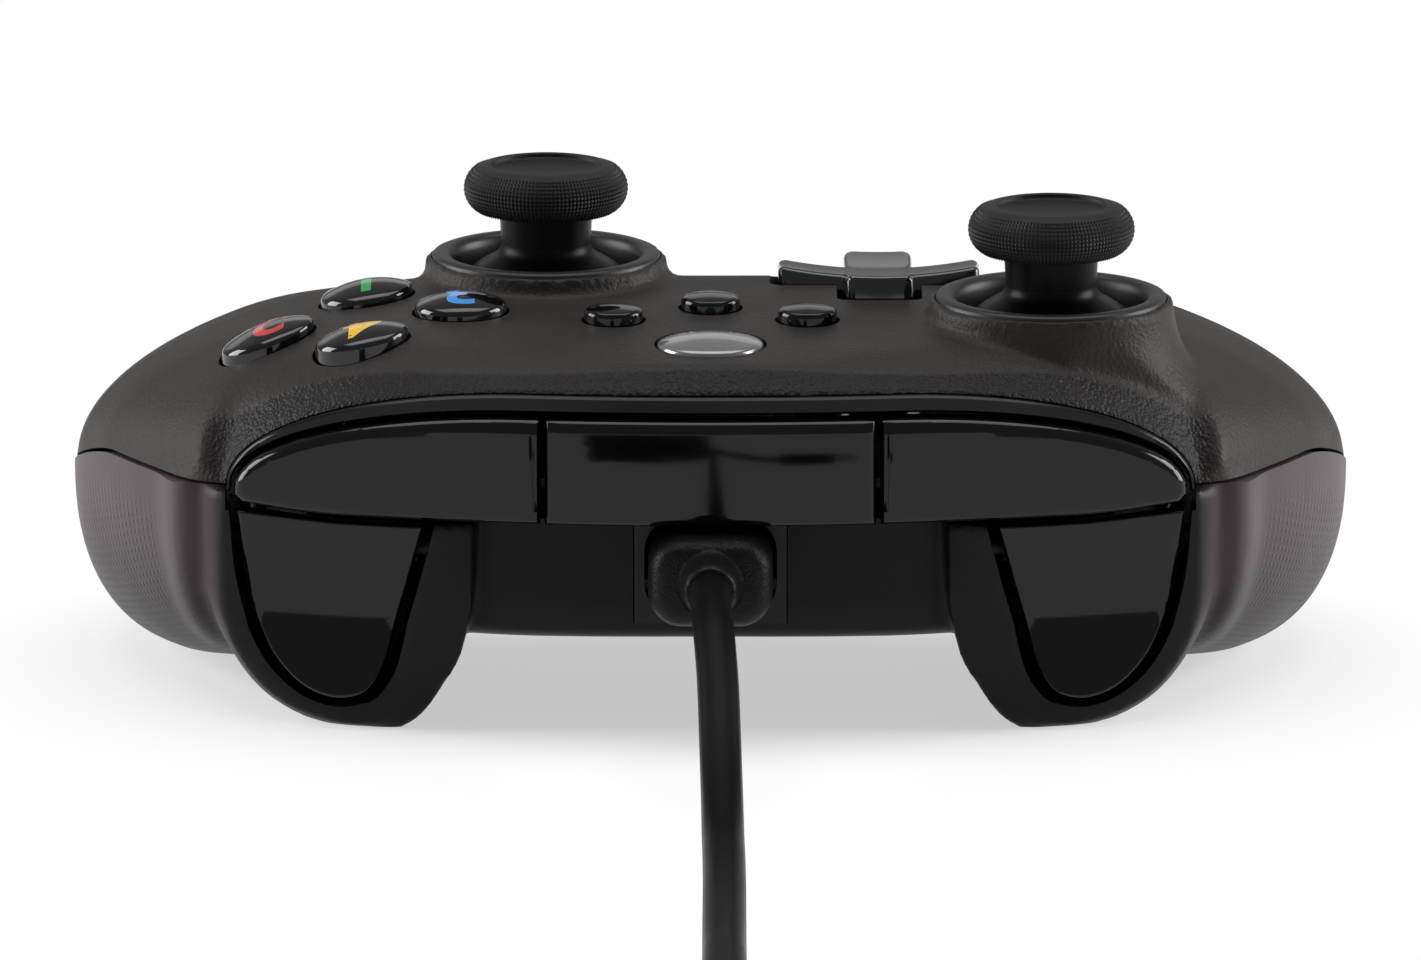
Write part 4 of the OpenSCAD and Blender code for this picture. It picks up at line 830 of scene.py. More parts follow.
    def lower_point(self, row: float, share: float, inset: float, skin: bool) -> Vector:
        """Point of the lower shell, as upper_point gives one of the upper shell."""
        r = abs(row)
        a, b = self.ends(r, True)
        t = 0.5 - 0.5 * math.cos(math.pi * share)
        here = a.lerp(b, t)
        z_a = self.seam_z(a.y)
        if r < len(self.lower_rise) - 1:
            z_a = min(z_a, self.panel_top + smooth_value(self.lower_rise, r))
        rim = mix(z_a, self.seam_z(b.y), t) - self.seam_gap
        z = rim
        if skin:
            power = smooth_value(self.boxiness, r)
            deep = max(0.0, 1 - abs(2 * t - 1) ** power) ** (1 / power)
            floor = self.belly - smooth_value(self.belly_drop, r) + inset
            z = rim - max(0.0, rim - floor) * deep * roll((self.depth - here.y) / self.tip_round)
        return Vector((math.copysign(here.x, row), self.y(here.y), z))

    def on_deck(self, x: float, q: float) -> Matrix:
        """Place of a control on the tilted deck."""
        return (Matrix.Translation((x, self.y(q), self.deck_z(q)))
                @ Matrix.Rotation(math.radians(self.tilt), 4, "X"))

    def arch_side(self, end_in: float, top_in: float) -> list[Point2]:
        """Right half of the shoulder arch, set in from its end and its top."""
        reach, rise = self.arch_reach - end_in, self.arch_h - top_in
        angles = [math.radians(90 - 3 * k) for k in range(31)]
        return [(self.arch_flat + reach * math.sin(a), self.seam_z0 + rise * math.cos(a)) for a in angles]

    def arch_outline(self, end_in: float, top_in: float, low: float) -> list[Point2]:
        """Closed outline under the whole shoulder arch."""
        half = self.arch_side(end_in, top_in)
        end = self.arch_flat + self.arch_reach - end_in
        return [(end, low), *half, *((-x, z) for x, z in reversed(half)), (-end, low)]


FORM = BodyForm()
LOOK = Palette()
FORWARD = Matrix.Rotation(math.radians(90), 4, "X")
HOLE_SPAN = (-12, 18)


def facing_front(q_near: float, q_far: float) -> tuple[float, float]:
    """Heights of a prism that FORWARD lays between two distances behind the front."""
    return -FORM.y(q_far), -FORM.y(q_near)


@dataclass
class Stick:
    """Place and body of one thumbstick."""

    side: Side
    x: float
    q: float

    def place(self) -> Matrix:
        """Place of the stick on the deck."""
        return FORM.on_deck(self.x, self.q)


STICKS = (Stick(Side.LEFT, 40.4, 29.0), Stick(Side.RIGHT, -19.8, 53.0))


@dataclass
class Thumbsticks:
    """Trim rings, domed stems and rubber caps of both sticks."""

    pivot: float = 9.5
    dome_r: float = 14.3
    dome_t: float = 1.0
    dome_edge: float = 64.0
    shaft_r: float = 1.7
    stem_r: float = 5.4
    stem_top: float = 8.9
    cap_r: float = 9.7
    cap_roll: float = 2.9
    cap_top: float = 14.4
    dots_round: int = 128
    dot_rows: int = 13
    dots_low: float = -66.0
    dots_high: float = 58.0
    dot_h: float = 0.22

    def ring(self) -> Blank:
        """Trim ring in the collar."""
        outline = [(11.4, -0.4), (13.7, -0.4), (13.7, 3.3), (13.55, 3.55), (13.1, 3.72), (12.5, 3.74),
                   (12.0, 3.66), (11.6, 3.42), (11.34, 2.95), (11.2, 2.3), (11.2, 1.2), (11.26, 0.3),
                   (11.4, -0.4)]
        return Blank().lathe(outline, 120)

    def stem(self) -> Blank:
        """Shaft, dome and stem, about the stick's pivot."""
        inner, outer = self.dome_r - self.dome_t, self.dome_r
        start = math.degrees(math.asin(self.shaft_r / inner))
        under = [math.radians(mix(start, self.dome_edge, k / 12)) for k in range(13)]
        top_a = math.degrees(math.asin(self.stem_r / outer))
        over = [math.radians(mix(self.dome_edge, top_a + 3, k / 18)) for k in range(19)]
        neck = outer * math.cos(math.radians(top_a))
        profile = [(0, -3.6), (self.shaft_r, -3.6), (self.shaft_r, inner - 0.6)]
        profile += [(inner * math.sin(a), inner * math.cos(a)) for a in under]
        profile += [(outer * math.sin(a), outer * math.cos(a)) for a in over]
        top = self.pivot + self.stem_top
        profile += [(self.stem_r + 0.25, neck + 0.25), (self.stem_r + 0.05, neck + 0.6),
                    (self.stem_r, neck + 1.2), (self.stem_r + 0.2, top), (0, top)]
        return Blank().lathe(profile, 96, Matrix.Translation((0, 0, -self.pivot)))

    def cap(self) -> Blank:
        """Rubber cap: a rolled rim with dots, and a dished top."""
        tube, mid = self.cap_r - self.cap_roll, self.cap_top - self.cap_roll
        count = 2 * self.dot_rows
        step = (self.dots_high - self.dots_low) / count
        angles = [-80.0, *(self.dots_low + step * k for k in range(count + 1)), 72.0, 84.0]
        profile = [(0, self.stem_top), (self.stem_r + 1.6, self.stem_top)]
        for angle in angles:
            a = math.radians(angle)
            profile.append((tube + self.cap_roll * math.cos(a), mid + self.cap_roll * math.sin(a)))
        profile += [(tube - 0.1, self.cap_top - 0.01), (tube - 0.22, self.cap_top - 0.12),
                    (tube - 0.3, self.cap_top - 0.5), (tube - 0.5, self.cap_top - 0.64),
                    (4.4, self.cap_top - 0.92), (2.2, self.cap_top - 1.1), (0, self.cap_top - 1.15)]
        blank = Blank().lathe(profile, 2 * self.dots_round)
        for vert in blank.bm.verts:
            out = Vector((math.hypot(vert.co.x, vert.co.y) - tube, vert.co.z - mid))
            row = (math.degrees(math.atan2(out.y, out.x)) - self.dots_low) / step
            column = math.atan2(vert.co.y, vert.co.x) / math.pi * self.dots_round
            on_rim = abs(out.length - self.cap_roll) < 0.01 and 0 < row < count
            if on_rim and round(row) % 2 and round(column) % 2:
                away = Vector((vert.co.x, vert.co.y)).normalized() * (self.dot_h * out.x / out.length)
                vert.co += Vector((away.x, away.y, self.dot_h * out.y / out.length))
        return blank

    def build(self) -> None:
        """Makes and dresses the pieces of both sticks."""
        for stick in STICKS:
            word = stick.side.word
            for blank, part, finish, slot, body in (
                    (self.ring(), "stick_ring", LOOK.ring_black, "satin_black", "housing"),
                    (self.stem(), "stem", LOOK.stick_stem, "stick_stem", f"{word}_thumbstick"),
                    (self.cap(), "cap", LOOK.stick_rubber, "stick_rubber", f"{word}_thumbstick")):
                piece = blank.moved(stick.place()).mesh(f"{word}_{part}_look", 24 if part == "cap" else 50)
                dress(piece, finish, body, slot, f"{word}_{part}")


@dataclass
class FaceButtons:
    """Four domed buttons in a diamond, each with a plain figure under its gloss."""

    x: float = -41.2
    q: float = 32.2
    pitch: float = 11.5
    radius: float = 5.5
    stand: float = 2.2
    rise: float = 1.3
    flange: float = 0.7
    flange_drop: float = 6.6
    plunger_low: float = -12.15
    figure_size: float = 9.2
    hole_gap: float = 0.35

    def places(self) -> dict[str, Point2]:
        """Place of each button."""
        return {"south": (self.x, self.q + self.pitch), "east": (self.x - self.pitch, self.q),
                "west": (self.x + self.pitch, self.q), "north": (self.x, self.q - self.pitch)}

    def dome(self, rho: float) -> float:
        """Drop of the dome at a distance from its middle."""
        ball = (self.radius ** 2 + self.rise ** 2) / (2 * self.rise)
        return ball - math.sqrt(ball * ball - rho * rho)

    def button(self, x: float, q: float) -> Blank:
        """One button, its dome sheared to the slope of the skin."""
        h, lean = FORM.skin_h(x, q), math.tan(FORM.lean(x, q))
        base, r, top = h - self.flange_drop, self.radius, h + self.stand
        wide = r + self.flange
        profile = [(0, self.plunger_low), (2.4, self.plunger_low), (2.4, base - 1), (wide, base - 1),
                   (wide, base), (r, base), (r, top - self.dome(r) - 0.55)]
        profile += [(r - 0.06, top - self.dome(r) - 0.22), (r - 0.25, top - self.dome(r - 0.25) - 0.06)]
        profile += [(rho, top - self.dome(rho)) for rho in (5.0, 4.5, 4, 3.4, 2.8, 2.1, 1.4, 0.7, 0)]
        blank = Blank().lathe(profile, 96)
        for vert in blank.bm.verts:
            if vert.co.z > base + 0.5:
                vert.co.z += vert.co.x * lean
        return blank.moved(FORM.on_deck(x, q))

    def figure(self, text: str, x: float, q: float) -> Piece:
        """A plain figure laid on the dome, to be read by the player.

        Args:
            text: The figure.
            x: Place of the button across.
            q: Place of the button behind the front.

        Returns:
            The figure's mesh object.
        """
        curve = bpy.data.curves.new(f"figure_{text}", "FONT")
        curve.body = text
        curve.size = self.figure_size
        curve.align_x, curve.align_y = "CENTER", "CENTER"
        curve.offset = 0.14
        curve.resolution_u = 6
        source = bpy.data.objects.new(f"figure_{text}", curve)
        bpy.context.scene.collection.objects.link(source)
        graph = bpy.context.evaluated_depsgraph_get()
        flat = bpy.data.meshes.new_from_object(source.evaluated_get(graph))
        bpy.data.objects.remove(source)
        bpy.data.curves.remove(curve)
        blank = Blank()
        blank.bm.from_mesh(flat)
        bpy.data.meshes.remove(flat)
        marks = blank.bm.verts.layers.float
        for name in ("setback", "back"):
            if marks.get(name) is None:
                marks.new(name)
        for cut in range(-3, 4):
            for normal in (Vector((1, 0, 0)), Vector((0, 1, 0))):
                geometry = blank.bm.verts[:] + blank.bm.edges[:] + blank.bm.faces[:]
                bmesh.ops.bisect_plane(blank.bm, geom=geometry, dist=1e-4,
                                       plane_co=normal * cut * 0.8, plane_no=normal)
        h, lean = FORM.skin_h(x, q) + self.stand, math.tan(FORM.lean(x, q))
        for vert in blank.bm.verts:
            across, along = -vert.co.x, -vert.co.y
            vert.co = (across, along, h - self.dome(math.hypot(across, along)) + across * lean + 0.02)
        raised = bmesh.ops.extrude_face_region(blank.bm, geom=blank.bm.faces[:])["geom"]
        bmesh.ops.translate(blank.bm, vec=(0, 0, -0.06),
                            verts=[v for v in raised if isinstance(v, bmesh.types.BMVert)])
        return blank.moved(FORM.on_deck(x, q)).mesh(f"figure_{text}_look", 60)

    def build(self) -> None:
        """Makes and dresses the buttons and their figures."""
        colours = {"south": LOOK.green, "east": LOOK.red, "west": LOOK.blue, "north": LOOK.yellow}
        for number, (word, (x, q)) in enumerate(self.places().items(), 1):
            piece = self.button(x, q).mesh(f"face_{word}_look", 50)
            dress(piece, LOOK.smoked_lens, f"face_{word}", "smoked_lens", f"face_{word}")
            dress(self.figure(str(number), x, q), colours[word], f"face_{word}", "smoked_lens")

    def holes(self, blank: Blank) -> None:
        """Adds the cutters of the buttons' holes."""
        for x, q in self.places().values():
            blank.rod(self.radius + self.hole_gap, *HOLE_SPAN, 72, FORM.on_deck(x, q))


@dataclass(frozen=True)
class SmallButton:
    """One of the buttons along the middle."""

    node: str
    x: float
    q: float
    radius: float
    stand: float
    rise: float
    finish: Finish
    slot: str


@dataclass
class MiddleButtons:
    """The domed middle button and the three small ones."""

    hole_gap: float = 0.35
    tact_low: float = -12.65
    buttons: tuple[SmallButton, ...] = (
        SmallButton("home_button", 0, 16, 6.3, 1.2, 1.0, LOOK.silver_lens, "silver_lens"),
        SmallButton("menu_button", -11.5, 27.6, 3.5, 1.7, 0.4, LOOK.gloss_black, "gloss_black"),
        SmallButton("view_button", 11.5, 27.6, 3.5, 1.7, 0.4, LOOK.gloss_black, "gloss_black"),
        SmallButton("share_button", 0, 33.6, 3.5, 1.7, 0.4, LOOK.gloss_black, "gloss_black"))

    def blank(self, button: SmallButton) -> Blank:
        """One button, turned, with a rounded edge under its dome."""
        r, ball = button.radius, (button.radius ** 2 + button.rise ** 2) / (2 * button.rise)
        top = FORM.skin_h(button.x, button.q) + button.stand

        def surface(rho: float) -> float:
            return top - ball + math.sqrt(ball * ball - rho * rho)

        profile = [(0, self.tact_low), (1.6, self.tact_low), (1.6, -5), (r + 0.6, -5), (r + 0.6, -4), (r, -4),
                   (r, surface(r) - 0.5), (r - 0.06, surface(r) - 0.2), (r - 0.24, surface(r - 0.24) - 0.05)]
        profile += [(r * k / 9, surface(r * k / 9)) for k in range(8, -1, -1)]
        return Blank().lathe(profile, 96).moved(FORM.on_deck(button.x, button.q))

    def build(self) -> None:
        """Makes and dresses the buttons."""
        for button in self.buttons:
            piece = self.blank(button).mesh(f"{button.node}_look", 50)
            dress(piece, button.finish, button.node, button.slot, button.node)

    def holes(self, blank: Blank) -> None:
        """Adds the cutters of the buttons' holes."""
        for button in self.buttons:
            blank.rod(button.radius + self.hole_gap, *HOLE_SPAN, 72, FORM.on_deck(button.x, button.q))


@dataclass
class DirectionPad:
    """Rocking cross with a dished top."""

    x: float = 20.2
    q: float = 50.6
    length: float = 24.2
    arm: float = 8.2
    tip: float = 3.8
    skirt: float = 2.2
    pivot: float = 6.0
    hub_r: float = 3.6
    peg_r: float = 1.2
    peg_low: float = -12.5
    peg_in: float = 1.9
    rounding: tuple[Point2, ...] = ((0, 0.75), (0.14, 0.4), (0.22, 0.16), (0.34, 0.0))
    dish_r: float = 60.0
    dish_back: float = 5.0
    corner: float = 1.2
    gap: float = 1.0

    def cross(self, grow: float) -> list[Point2]:
        """Outline of the cross with rounded outer corners."""
        l, w, r = self.length / 2 + grow, self.arm / 2 + grow, self.corner
        arm: list[Point2] = []
        for side in (-1, 1):
            for k in range(5):
                b = math.radians(-90 + 22.5 * k if side < 0 else 22.5 * k)
                arm.append((l - r + r * math.cos(b), side * w - side * r + r * math.sin(b)))
        arm.append((w, w))
        turns = [math.radians(90 * turn) for turn in range(4)]
        return [(x * math.cos(a) - y * math.sin(a), x * math.sin(a) + y * math.cos(a))
                for a in turns for x, y in arm]

    def build(self) -> None:
        """Makes and dresses the pad."""
        centre = self.tip + math.sqrt(self.dish_r ** 2 - (self.length / 2 + self.dish_back) ** 2)

        def warp(u: float, v: float, setback: float, back: float) -> Point3:
            dish = centre - math.sqrt(self.dish_r ** 2 - u * u - (v - self.dish_back) ** 2)
            return u, v, -self.skirt if back else min(self.tip, dish) - setback

        steps = [mix(-12, 12, k / 26) + 0.013 for k in range(27)]
        blank = Blank().sheet(self.cross(0), self.rounding, steps, steps, warp)
        root = -self.skirt + 0.2
        blank.rod(self.hub_r, -self.pivot + 0.8, root, 48)
        for turn in range(4):
            peg = (Matrix.Rotation(math.radians(90 * turn), 4, "Z")
                   @ Matrix.Translation((self.length / 2 - self.peg_in, 0, 0)))
            blank.rod(self.peg_r, self.peg_low, root, 24, peg)
        piece = blank.moved(FORM.on_deck(self.x, self.q)).mesh("dpad_look", 45)
        dress(piece, LOOK.pad_black, "dpad", "gloss_black", "dpad")

    def holes(self, blank: Blank) -> None:
        """Adds the cutter of the cross's hole."""
        blank.prism(self.cross(self.gap), -12, 28, FORM.on_deck(self.x, self.q))


@dataclass
class ShoulderArch:
    """Bezel, centre cover and both bumpers, bent round the front's arc."""

    cover_half: float = 19.4
    bumper_low: float = 25.6
    thickness: float = 4.2
    bezel_near: float = 1.8
    bezel_far: float = 6.0
    pin_r: float = 1.5
    pin_play: float = 0.05
    ear_r: float = 2.7
    ear_t: float = 2.0
    pin_back: float = 3.2
    pin_side: float = 4.1
    rounding: tuple[Point2, ...] = ((0, 1.0), (0.16, 0.55), (0.26, 0.24), (0.4, 0.06), (0.5, 0.0))

    def bent(self, near: float, far: float, crown: float = 0.0) -> Warp:
        """Warp of a flat front onto the arc.

        Args:
            near: Front face's distance behind the arc.
            far: Back face's distance behind the arc.
            crown: How far the face bulges back at its top and bottom edges.

        Returns:
            The warp for a sheet.
        """
        def warp(u: float, v: float, setback: float, back: float) -> Point3:
            fall = crown * ((v - 31.8) / 6.2) ** 2
            depth = far if back else near + setback + fall
            return u, FORM.arc_y(u, depth), v

        return warp

    def pin_place(self) -> tuple[float, float]:
        """Place of a bumper's pin, across and behind the front."""
        x = self.cover_half + self.pin_side
        return x, FORM.bulge(x) + self.thickness + self.pin_back

    def top_z(self) -> float:
        """Height of the flat top of the bumpers."""
        return FORM.arch_side(1.3, 2.9)[-1][1]

    def ear(self, blank: Blank, low: float, high: float, x: float, q: float) -> None:
        """Adds an ear or a barrel on a bumper's pin."""
        bore = self.pin_r + self.pin_play
        blank.tube(bore, self.ear_r, low, high, 40, Matrix.Translation((x, FORM.y(q), 0)))

    def bumper(self) -> Blank:
        """The left bumper with its barrel."""
        outline = [(19.9, self.bumper_low), (44, self.bumper_low), (49, self.bumper_low + 0.2), (55.3, 26.4),
                   (56.1, 27.3), *FORM.arch_side(1.3, 2.9), (19.9, self.top_z())]
        cuts = [mix(20.3, 55.9, k / 24) + 0.017 for k in range(25)]
        levels = [mix(26.0, 37.6, k / 8) + 0.011 for k in range(9)]
        blank = Blank().sheet(outline, self.rounding, cuts, levels, self.bent(0, self.thickness, 0.25))
        x, q = self.pin_place()
        low, high = self.bumper_low + 0.8 + self.ear_t + 0.3, self.top_z() - 0.8 - self.ear_t - 0.3
        self.ear(blank, low, high, x, q)
        near = FORM.bulge(x) + self.thickness - 0.4
        return blank.prism([(x - 1.6, FORM.y(near)), (x + 1.6, FORM.y(near)), (x + 1.6, FORM.y(q - 1.8)),
                            (x - 1.6, FORM.y(q - 1.8))], low, high)

    def cover(self) -> Blank:
        """The centre cover with its four ears."""
        low, high, half = self.bumper_low, self.top_z(), self.cover_half
        outline = [(-half, low), (half, low), (half, high), (-half, high)]
        cuts = [mix(-half, half, k / 20) + 0.013 for k in range(1, 20)]
        levels = [mix(low, high, k / 8) + 0.009 for k in range(1, 8)]
        blank = Blank().sheet(outline, self.rounding, cuts, levels, self.bent(0, self.thickness, 0.25))
        x, q = self.pin_place()
        for z in (low + 0.8, high - 0.8 - self.ear_t):
            for side in Side:
                self.ear(blank, z, z + self.ear_t, side.value * x, q)
                rib = [(12, self.thickness), (x - 1.9, q - 1.9), (x - 1.9, q + 1.9), (12, q + 1.9)]
                blank.prism([(side.value * px, FORM.y(pq)) for px, pq in rib], z, z + self.ear_t)
        return blank

    def bezel(self) -> Blank:
        """The gloss band under the arch's edge."""
        outer = FORM.arch_outline(0.3, 0.3, 27.4)
        inner = FORM.arch_outline(0.8, 2.4, 27.4)
        cuts = [mix(-57, 57, k / 60) + 0.019 for k in range(61)]
        return Blank().sheet(outer + inner[::-1], ((0, 0.5), (0.14, 0.2), (0.2, 0.0)), cuts, (),
                             self.bent(self.bezel_near, self.bezel_far))

    def build(self) -> None:
        """Makes and dresses the pieces."""
        for blank, name, finish in ((self.bezel(), "bumper_bezel", LOOK.bezel_black),
                                    (self.cover(), "center_cover", LOOK.gloss_black)):
            dress(blank.mesh(f"{name}_look"), finish, "housing", "gloss_black", name)
        for side in Side:
            blank = self.bumper() if side is Side.LEFT else self.bumper().flip()
            name = f"{side.word}_bumper"
            dress(blank.mesh(f"{name}_look"), LOOK.gloss_black, name, "gloss_black", name)


@dataclass
class Triggers:
    """Curved trigger skins with their ribs and barrels."""

    outline: tuple[Point2, ...] = ((55.6, 25), (54.85, 17.4), (53.5, 12.3), (50.7, 7.5), (46.6, 4.6),
                                   (43.3, 4.1), (40.7, 5), (39.3, 6.7), (37.2, 13.1), (34.8, 21.6),
                                   (34.1, 24.4))
    profile: tuple[Point2, ...] = ((26, 1.5), (22, 2.6), (18, 3.4), (14, 3.5), (10, 2.9), (7, 1.9),
                                   (4.5, 0.7), (3, 0.3))
    thickness: float = 2.4
    opening_gap: float = 1.2
    skin_grow: float = 0.3
    inner_room: float = 0.4
    inner_x: float = 41.0
    low_room: float = 0.5
    low_z: float = 12.0
    arc_x: float = 45.0
    pivot_q: float = 7.4
    pivot_z: float = 21.5
    barrel: tuple[float, float] = (-5.0, 9.0)
    barrel_r: float = 2.35
    bore_r: float = 1.25
    rounding: tuple[Point2, ...] = ((0, 0.8), (0.05, 0.45), (0.08, 0.22), (0.12, 0.07), (0.17, 0.0))

    def shape(self) -> list[Point2]:
        """Smooth closed outline of the trigger from the front."""
        return [(p.x, p.y) for p in smooth_path(self.outline, 5)] + [(44.0, 24.4)]

    def setback(self, z: float) -> float:
        """Distance of the skin behind the arc at a height, on a smooth curve."""
        places = self.profile
        for i in range(len(places) - 1):
            high, low = places[i][0], places[i + 1][0]
            if z >= low or i == len(places) - 2:
                return spline(places, i + clamped((high - z) / (high - low))).y
        return places[-1][1]

    def on_arc(self) -> Matrix:
        """Frame of the trigger's pin on the front's arc."""
        return (Matrix.Translation((self.arc_x, FORM.y(FORM.bulge(self.arc_x)), 0))
                @ Matrix.Rotation(math.asin(self.arc_x / FORM.front_r), 4, "Z"))

    def blank(self) -> Blank:
        """The left trigger."""
        def warp(u: float, v: float, setback: float, back: float) -> Point3:
            depth = self.setback(v) + (self.thickness if back else setback)
            return u, FORM.arc_y(u, depth), v

        cuts = [mix(34.6, 55.2, k / 16) + 0.017 for k in range(17)]
        levels = [mix(4.5, 24.7, k / 22) + 0.011 for k in range(23)]
        made = Blank().sheet(widened(self.shape(), self.skin_grow), self.rounding, cuts, levels, warp)
        frame = self.on_arc()
        q, z = self.pivot_q, self.pivot_z
        rib = [(4.9, z + 2), (q, z + 2), (q + 1.6, z - 1.4), (5.2, z - 9), (4.9, z - 9)]
        upright = Matrix.Rotation(math.radians(90), 4, "Z") @ Matrix.Rotation(math.radians(90), 4, "X")
        for x in (self.barrel[0], self.barrel[1] - 2):
            made.prism(rib, x, x + 2, frame @ upright)
        across = (Matrix.Translation((0, self.pivot_q, self.pivot_z))
                  @ Matrix.Rotation(math.radians(90), 4, "Y"))
        return made.tube(self.bore_r, self.barrel_r, *self.barrel, 40, frame @ across)

    def build(self) -> None:
        """Makes and dresses both triggers."""
        for side in Side:
            blank = self.blank() if side is Side.LEFT else self.blank().flip()
            name = f"{side.word}_trigger"
            dress(blank.mesh(f"{name}_look"), LOOK.gloss_black, name, "gloss_black", name)

    def openings(self) -> Blank:
        """Cutter of both openings in the lower shell."""
        outline = widened(self.shape(), self.opening_gap)
        blank = Blank()
        for side in Side:
            flat = [(side.value * (x - (self.inner_room if x < self.inner_x else 0)),
                     z - (self.low_room if z < self.low_z else 0)) for x, z in outline]
            blank.prism(flat, *facing_front(-9, 30), FORWARD)
        return blank


def parting(reach: float) -> Blank:
    """Cutter on one side of the seam between the shells.

    Args:
        reach: How far it goes up, or down where negative.

    Returns:
        The cutter, half a seam gap off the seam.
    """
    half = math.copysign(0.75 * FORM.seam_gap, -reach)

    def skin(u: float, v: float) -> Vector:
        q = mix(-20, FORM.depth + 20, v)
        return Vector((mix(-100, 100, u), FORM.y(q), FORM.seam_z(q) + half))

    return Blank().patch(2, 70, skin, lambda u, v: skin(u, v) + Vector((0, 0, reach)))


@dataclass
class Shell:
    """What both shells share: a fused skin, blunted grip tips and a hollow that ends before them."""

    voxel: float = 0.6
    rounds: int = 3
    wall: float = 2.2
    sharp: float = 40.0
    grid: tuple[int, int] = (204, 60)
    hollow_grid: tuple[int, int] = (66, 28)
    hollow_ends: Point2 = (0.05, 0.95)
    hollow_full: float = 81.0
    hollow_share: float = 0.25
    skirt: float = 5.0
    tips_from: float = 80.0
    tips_blend: float = 12.0
    tips_rounds: int = 40

    def point(self, row: float, share: float, inset: float, past: float | None) -> Vector:
        """Point of the skin, or of a flat face some way past the rim."""
        raise NotImplementedError

    def solid(self, past: float, hollow: bool = False) -> Blank:
        """Solid behind the skin.

        Args:
            past: How far it goes past the rim.
            hollow: True for the smaller solid that is cut out.

        Returns:
            The solid.
        """
        reach, inset = (FORM.rows() - 0.5, self.wall) if hollow else (FORM.rows(), 0)
        ends = self.hollow_ends if hollow else (0, 1)

        def at(u: float, v: float, over: float | None) -> Vector:
            return self.point((2 * u - 1) * reach, mix(*ends, v), inset, over)

        made = Blank().patch(*(self.hollow_grid if hollow else self.grid), lambda u, v: at(u, v, None),
                             lambda u, v: at(u, v, past))
        for vert in made.bm.verts:
            beyond = vert.co.y - FORM.y(self.hollow_full)
            if hollow and beyond > 0:
                vert.co.y -= beyond * (1 - self.hollow_share)
        return made

    def fused(self, blank: Blank, name: str) -> Piece:
        """Makes overlapping closed solids one skin with soft inner corners and blunt grip tips."""
        piece = blank.mesh(name)
        remesh = piece.modifiers.new("fuse", "REMESH")
        remesh.mode = "VOXEL"
        remesh.voxel_size = self.voxel * MM
        soften(piece, self.rounds)
        tips = piece.vertex_groups.new(name="tips")
        for vert in piece.data.vertices:
            near = eased((vert.co.y / MM + FORM.depth / 2 - self.tips_from) / self.tips_blend)
            tips.add([vert.index], near, "REPLACE")
        soften(piece, self.tips_rounds, tips.name)
        piece.vertex_groups.clear()
        return piece

    def mark(self, piece: Piece, name: str, values: list[float]) -> None:
        """Gives every point of a piece its share of a mask."""
        piece.data.attributes.new(name, "FLOAT", "POINT").data.foreach_set("value", values)


